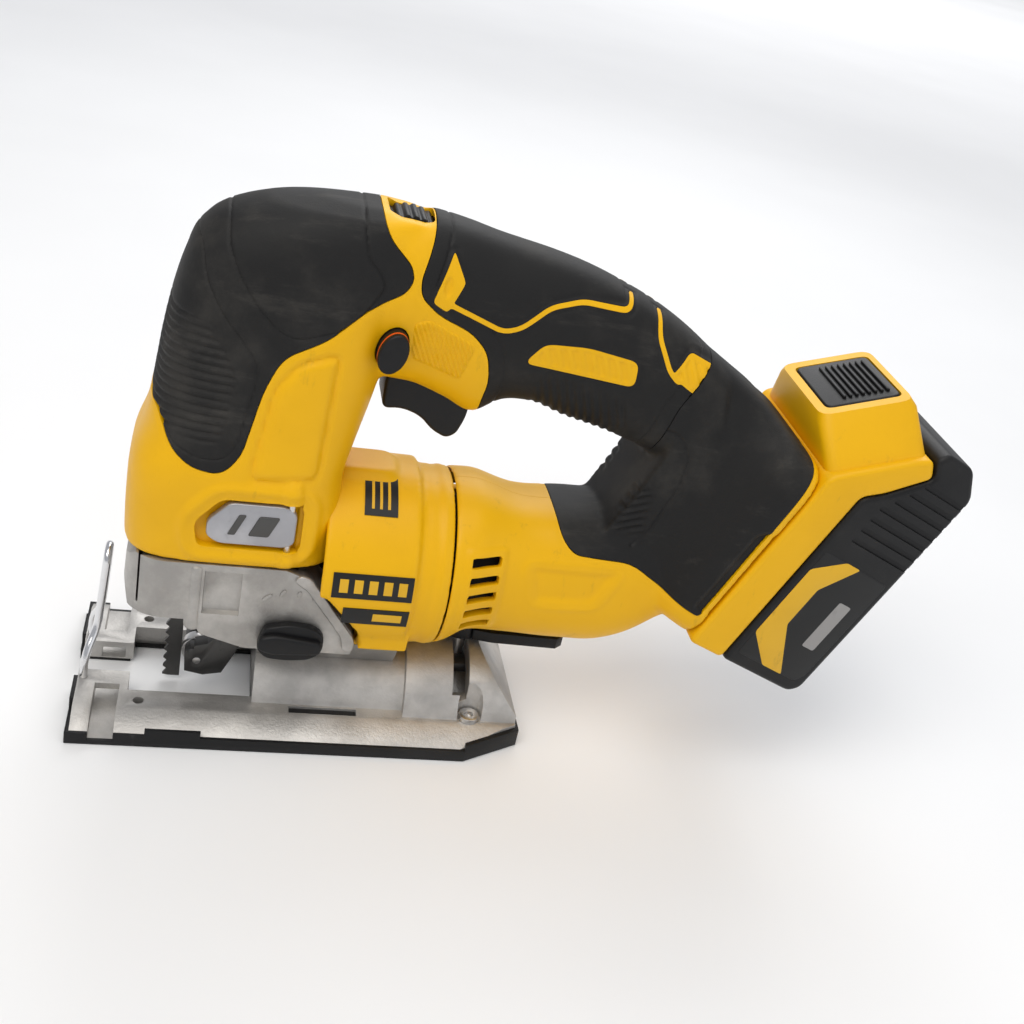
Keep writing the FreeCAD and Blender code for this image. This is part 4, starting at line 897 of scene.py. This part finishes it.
barrel_patch("barrel_label", -40, -10, 97, 109, 0.35, LABEL_BLACK)
for k in range(3):
    barrel_patch(f"barrel_line_{k}", -36, -14, 99.5 + 2.9 * k, 100.5 + 2.9 * k, 0.45, LABEL_YELLOW)
for side, tag in SIDES:
    def wrap(name, low, high, x_low, x_high, proud, paint, s=side, t=tag):
        barrel_patch(f"{name}_{t}", *sorted((s * low, s * high)), x_low, x_high, proud, paint)
    wrap("motor_badge", 73, 88, 88, 117, 0.3, LABEL_BLACK)
    wrap("motor_label", 94.5, 106, 93, 117, 0.3, LABEL_BLACK)
    wrap("motor_mark", 97.5, 103, 104, 114.5, 0.4, LABEL_YELLOW)
    for k in range(5):
        wrap(f"motor_stripe_{k}", 76.5, 84.5, 90.5 + 5.3 * k, 93.6 + 5.3 * k, 0.4, LABEL_YELLOW)

# ---------------------------------------------------------------- gear case trimmings
RIM = [(77, 73.6), (81.5, 72.4), (99.6, 47.5), (99.8, 42), (95.6, 42), (94.6, 48), (80, 67.5), (75, 71)]
for side, tag in ((NEAR, ""), (FAR, "_right")):
    plate_piece("gear_case_rim" + tag, RIM, side * 30.6, side * 32.3, PAINTS["cast_aluminium"], "housing",
                "cast_aluminium", corner=2, bevel=0.6)
for side, tag in SIDES:
    rib = prism(ellipse((41.2, side * 28.2), 3.1, 3.6), 46.5, 73.8, plan_on)
    place(crisp("gear_case_post_" + tag, rib, PAINTS["cast_aluminium"], 1.2, 4), "housing", "cast_aluminium")
SELECTOR_SPOT, MARK_RING = (75, 50), 15.5
for k in range(4):
    a = math.radians(58 + 22 * k)
    spot = (SELECTOR_SPOT[0] + MARK_RING * math.cos(a), SELECTOR_SPOT[1] + MARK_RING * math.sin(a))
    plate_piece(f"selector_mark_{k}", ellipse(spot, 0.8, 0.8 + 0.5 * k, -10 + 20 * k, 12), -30.8, -31.5,
                PAINTS["cast_aluminium"], "housing", "cast_aluminium", corner=0.2, bevel=0.2)
for side, tag in SIDES:
    low, high = sorted((side * 24.7, side * 28.4))
    pad = prism([(80.2, low), (105.8, low), (105.8, high), (80.2, high)], 6.9, 8.2, plan_on)
    place(crisp("shoe_inset_" + tag, pad, PAINTS["black_plastic"], 0.3), "shoe", "black_plastic")

# ---------------------------------------------------------------- battery pack
CAP = [(183.0, 146.3), (199.3, 146.3), (199.3, 229), (206, 234.5), (218.2, 248.6), (213.2, 254.6),
       (208, 251.6), (189, 235), (183.0, 229.4)]
CASE = [(199.7, 146.3), (235, 146.3), (238.7, 150), (238.7, 249.5), (230, 259.6), (217, 259.6),
        (213.9, 255.2), (218.9, 249), (206.4, 234.3), (199.7, 229)]
SHOULDER = (30.2, 26.3)
SLOPE = math.hypot(*SHOULDER)
UP_SLOPE = (SHOULDER[0] / SLOPE, SHOULDER[1] / SLOPE)


def on_shoulder(distance, height):
    """A point of the sloping shoulder: distance up the slope, height off it."""
    return (182.8 + UP_SLOPE[0] * distance - UP_SLOPE[1] * height,
            229 + UP_SLOPE[1] * distance + UP_SLOPE[0] * height)


def shoulder_plan(u, v, w):
    """Places a plan drawn on the shoulder: u up the slope, v across the tool, w off it."""
    depth, length = on_shoulder(u, w)
    return at(*in_pack(depth, v, length))


cap = crisp("cap_form", prism(rounded(CAP, 2.5), -PACK_HALF, PACK_HALF, pack_side),
            PAINTS["yellow_casing"], 2.6, 5, 30)
HUMP_TOP, WELL_FLOOR = 17.5, 8.3
CHANNEL_START, CHANNEL_END = 140, 222.6
hump = bmesh.new()
rings = []
for low, high, half, height in ((0.4, SLOPE - 1.2, 35.5, -2.0), (0.6, SLOPE - 1.5, 34, 1.0),
                                (1.3, 39, 24.5, HUMP_TOP - 3), (2.2, 37.6, 22, HUMP_TOP)):
    outline = rounded([(low, -half), (high, -half), (high, half), (low, half)], 5, 4)
    rings.append([hump.verts.new(shoulder_plan(u, v, height)) for u, v in outline])
for a, b in zip(rings, rings[1:]):
    for k in range(len(a)):
        m = (k + 1) % len(a)
        hump.faces.new((a[k], a[m], b[m], b[k]))
hump.faces.new(rings[0])
hump.faces.new(rings[-1])
bmesh.ops.recalc_face_normals(hump, faces=hump.faces)
carve(cap, hump, "UNION")
carve(cap, prism(rounded([(5.7, -17.8), (35.3, -17.8), (35.3, 17.8), (5.7, 17.8)], 3), WELL_FLOOR, 30,
                 shoulder_plan))
for half, start, end in ((25.4, 181.8, 185.3), (28.7, 185.1, 189.3)):
    channel = [(start, CHANNEL_START), (end, CHANNEL_START), (end, CHANNEL_END), (start, CHANNEL_END)]
    carve(cap, prism(channel, -half, half, pack_side))
repaint(cap, PAINTS["yellow_casing"])
soften(cap, 30)
cap.name = "pack_top"
place(cap, "pack", "yellow_casing", "pack_cap")

case = crisp("pack_shell", prism(rounded(CASE, 3), -PACK_HALF, PACK_HALF, pack_side),
             PAINTS["black_plastic"], 3.2, 5, 30)
for k in range(7):
    level = 213 + 5.2 * k
    start = 208.5 + 3 * max(0, k - 3)
    groove = [(start, level), (243, level), (243, level + 2.1), (start, level + 2.1)]
    for side in (-1, 1):
        low, high = sorted((side * 36.9, side * 40))
        carve(case, prism(rounded(groove, 0.8, 2), low, high, pack_side))
    carve(case, prism([(238.0, level), (243, level), (243, level + 2.1), (238.0, level + 2.1)], -41, 41,
                      pack_side))
repaint(case, PAINTS["black_plastic"])
soften(case, 30)
place(case, "pack", "black_plastic", "pack_case")
LABEL_FIELD = [(203, 152), (233, 152), (235.5, 156), (235.5, 205), (203, 205)]
LABEL_BAND = [(203, 163), (203, 196), (214, 205), (221, 205), (212, 190), (212, 172), (226, 152), (216, 152)]
LABEL_MARK = [(224, 167), (230, 167), (230, 190), (224, 190)]
for side, tag in SIDES:
    plate_piece("pack_label_" + tag, LABEL_FIELD, side * 37.2, side * 37.95, LABEL_BLACK, "pack",
                "black_plastic", pack_side, 0.2, 2)
    plate_piece("pack_band_" + tag, LABEL_BAND, side * 37.4, side * 38.0, LABEL_YELLOW, "pack",
                "yellow_casing", pack_side, 0.1, 1)
    plate_piece("pack_mark_" + tag, LABEL_MARK, side * 37.4, side * 38.0, LABEL_GREY, "pack",
                "silver_paint", pack_side, 0.1, 1)

button = crisp("pack_latch", prism(rounded([(6.2, -17.3), (34.8, -17.3), (34.8, 17.3), (6.2, 17.3)], 3), 12,
                                   HUMP_TOP + 0.2, shoulder_plan), PAINTS["black_plastic"], 0.8)
place(button, "pack_button", "black_plastic", "pack_button")
for k in range(8):
    start = 14 + 2.4 * k
    rib = prism([(start, -13), (start + 1.2, -13), (start + 1.2, 13), (start, 13)], HUMP_TOP - 0.2,
                HUMP_TOP + 1.3, shoulder_plan)
    place(crisp(f"pack_latch_rib_{k}", rib, PAINTS["black_plastic"], 0.4), "pack_button", "black_plastic")

# ---------------------------------------------------------------- controls
LEVER = [(42.8, 92.9), (50.1, 100.7), (69.9, 100.7), (73.2, 97.9), (73.2, 86.1), (69.9, 84.3), (47.1, 84.3),
         (42.8, 87.1)]
piece = crisp("release_plate", prism(rounded(LEVER, 2), -28.3, -31.6, side_on), PAINTS["silver_paint"], 0.7)
place(piece, "release_lever", "silver_paint", "release_lever")
plate_piece("release_ribs", [(50, 88.5), (53.5, 96.5), (56, 96.5), (52.5, 88.5)], -31, -32.1,
            PAINTS["dark_steel"], "release_lever", "dark_steel", corner=0.5)
plate_piece("release_arrow", [(57, 88.5), (60.5, 96.5), (67.5, 96.5), (64, 88.5)], -31, -32.1,
            PAINTS["dark_steel"], "release_lever", "dark_steel", corner=0.8)

KNOB = [(64.2, 43), (68, 38.9), (76, 38.3), (84, 39.3), (88.2, 43), (88.2, 50), (84, 53.2), (75, 54.1),
        (66.2, 52)]
KNOB_SPOT = (75, 47)
knob = crisp("knob_body", prism(rounded(KNOB, 2.5), -31.4, -35.4, side_on), PAINTS["black_plastic"], 0.8)
place(knob, "orbital_knob", "black_plastic", "orbital_knob")
plate_piece("knob_grip", [(64.6, 44.2), (70, 42.4), (87.5, 43.5), (87.5, 48.6), (70, 50.8), (64.8, 49.2)],
            -34, -38.2, PAINTS["black_plastic"], "orbital_knob", "black_plastic", bevel=1.3, corner=2)
stem = prism(ellipse(KNOB_SPOT, 4, 4), -24, -32, side_on)
place(soften(mesh_object("knob_stem", stem, PAINTS["black_plastic"])), "orbital_knob", "black_plastic")

TRIGGER = [(98.8, 131.2), (106, 132.2), (113, 129.8), (118, 124.8), (123.5, 122.2), (127, 124.2),
           (129.5, 131), (130.6, 149.8), (104.8, 149.8), (104.8, 145.3), (98.8, 145.3)]
trigger = crisp("trigger_piece", prism(rounded(TRIGGER, 3.5, 6), -8.9, 8.9, side_on),
                PAINTS["black_plastic"], 1.6, 5, 40)
place(trigger, "trigger", "black_plastic", "trigger")
button = crisp("lock_button_piece", prism(ellipse(BUTTON_SPOT, 4.9, 7.4, 15, 40), -26.4, 30.4, side_on),
               PAINTS["black_plastic"], 1.1, 4)
place(button, "lock_button", "black_plastic", "lock_button")
ring = prism(ellipse(BUTTON_SPOT, 4.95, 7.45, 15, 40), -24.4, -23.4, side_on)
place(soften(mesh_object("lock_mark", ring, ORANGE)), "lock_button", "black_plastic")


def ribbed_wheel(centre, radius, depth, teeth, low, high):
    """A wheel's outline with soft ribs round its rim, made solid across the tool."""
    outline = []
    for k in range(teeth * 8):
        a = 2 * math.pi * k / (teeth * 8)
        r = radius - depth * (0.5 - 0.5 * math.cos(teeth * a)) ** 2
        outline.append((centre[0] + r * math.cos(a), centre[1] + r * math.sin(a)))
    return prism(outline, low, high, side_on)


dial = crisp("dial_wheel", ribbed_wheel(DIAL_SPOT, 14.4, 0.9, 30, -6.9, 6.9), PAINTS["black_plastic"], 0.4,
             2, 50)
place(dial, "speed_dial", "black_plastic", "speed_dial")

# ---------------------------------------------------------------- hard pieces from their own solids
EDGE_BREAKS = {
    0.6: ("gear_case", "bevel_lever"), 0.5: ("shoe_casting",), 0.4: ("blade_clamp",), 0.35: ("sole_cover",),
    0.3: ("roller_bracket", "shoe_screws", "plunger", "clamp_bolt", "lamp_lens", "clamp_plate"),
    0.25: ("guide_roller",),
    0.2: ("casing_screws", "foot_rails", "bracket_pin", "roller_pin", "terminal_block"),
    0.1: ("lever_pin",), 0: ("wire_guard", "saw_blade")}
for bevel, node_name in ((bevel, name) for bevel, names in EDGE_BREAKS.items() for name in names):
    refined(node_name, SHOE_METAL if node_name == "shoe_casting" else PAINTS[slot_of[node_name]], bevel)
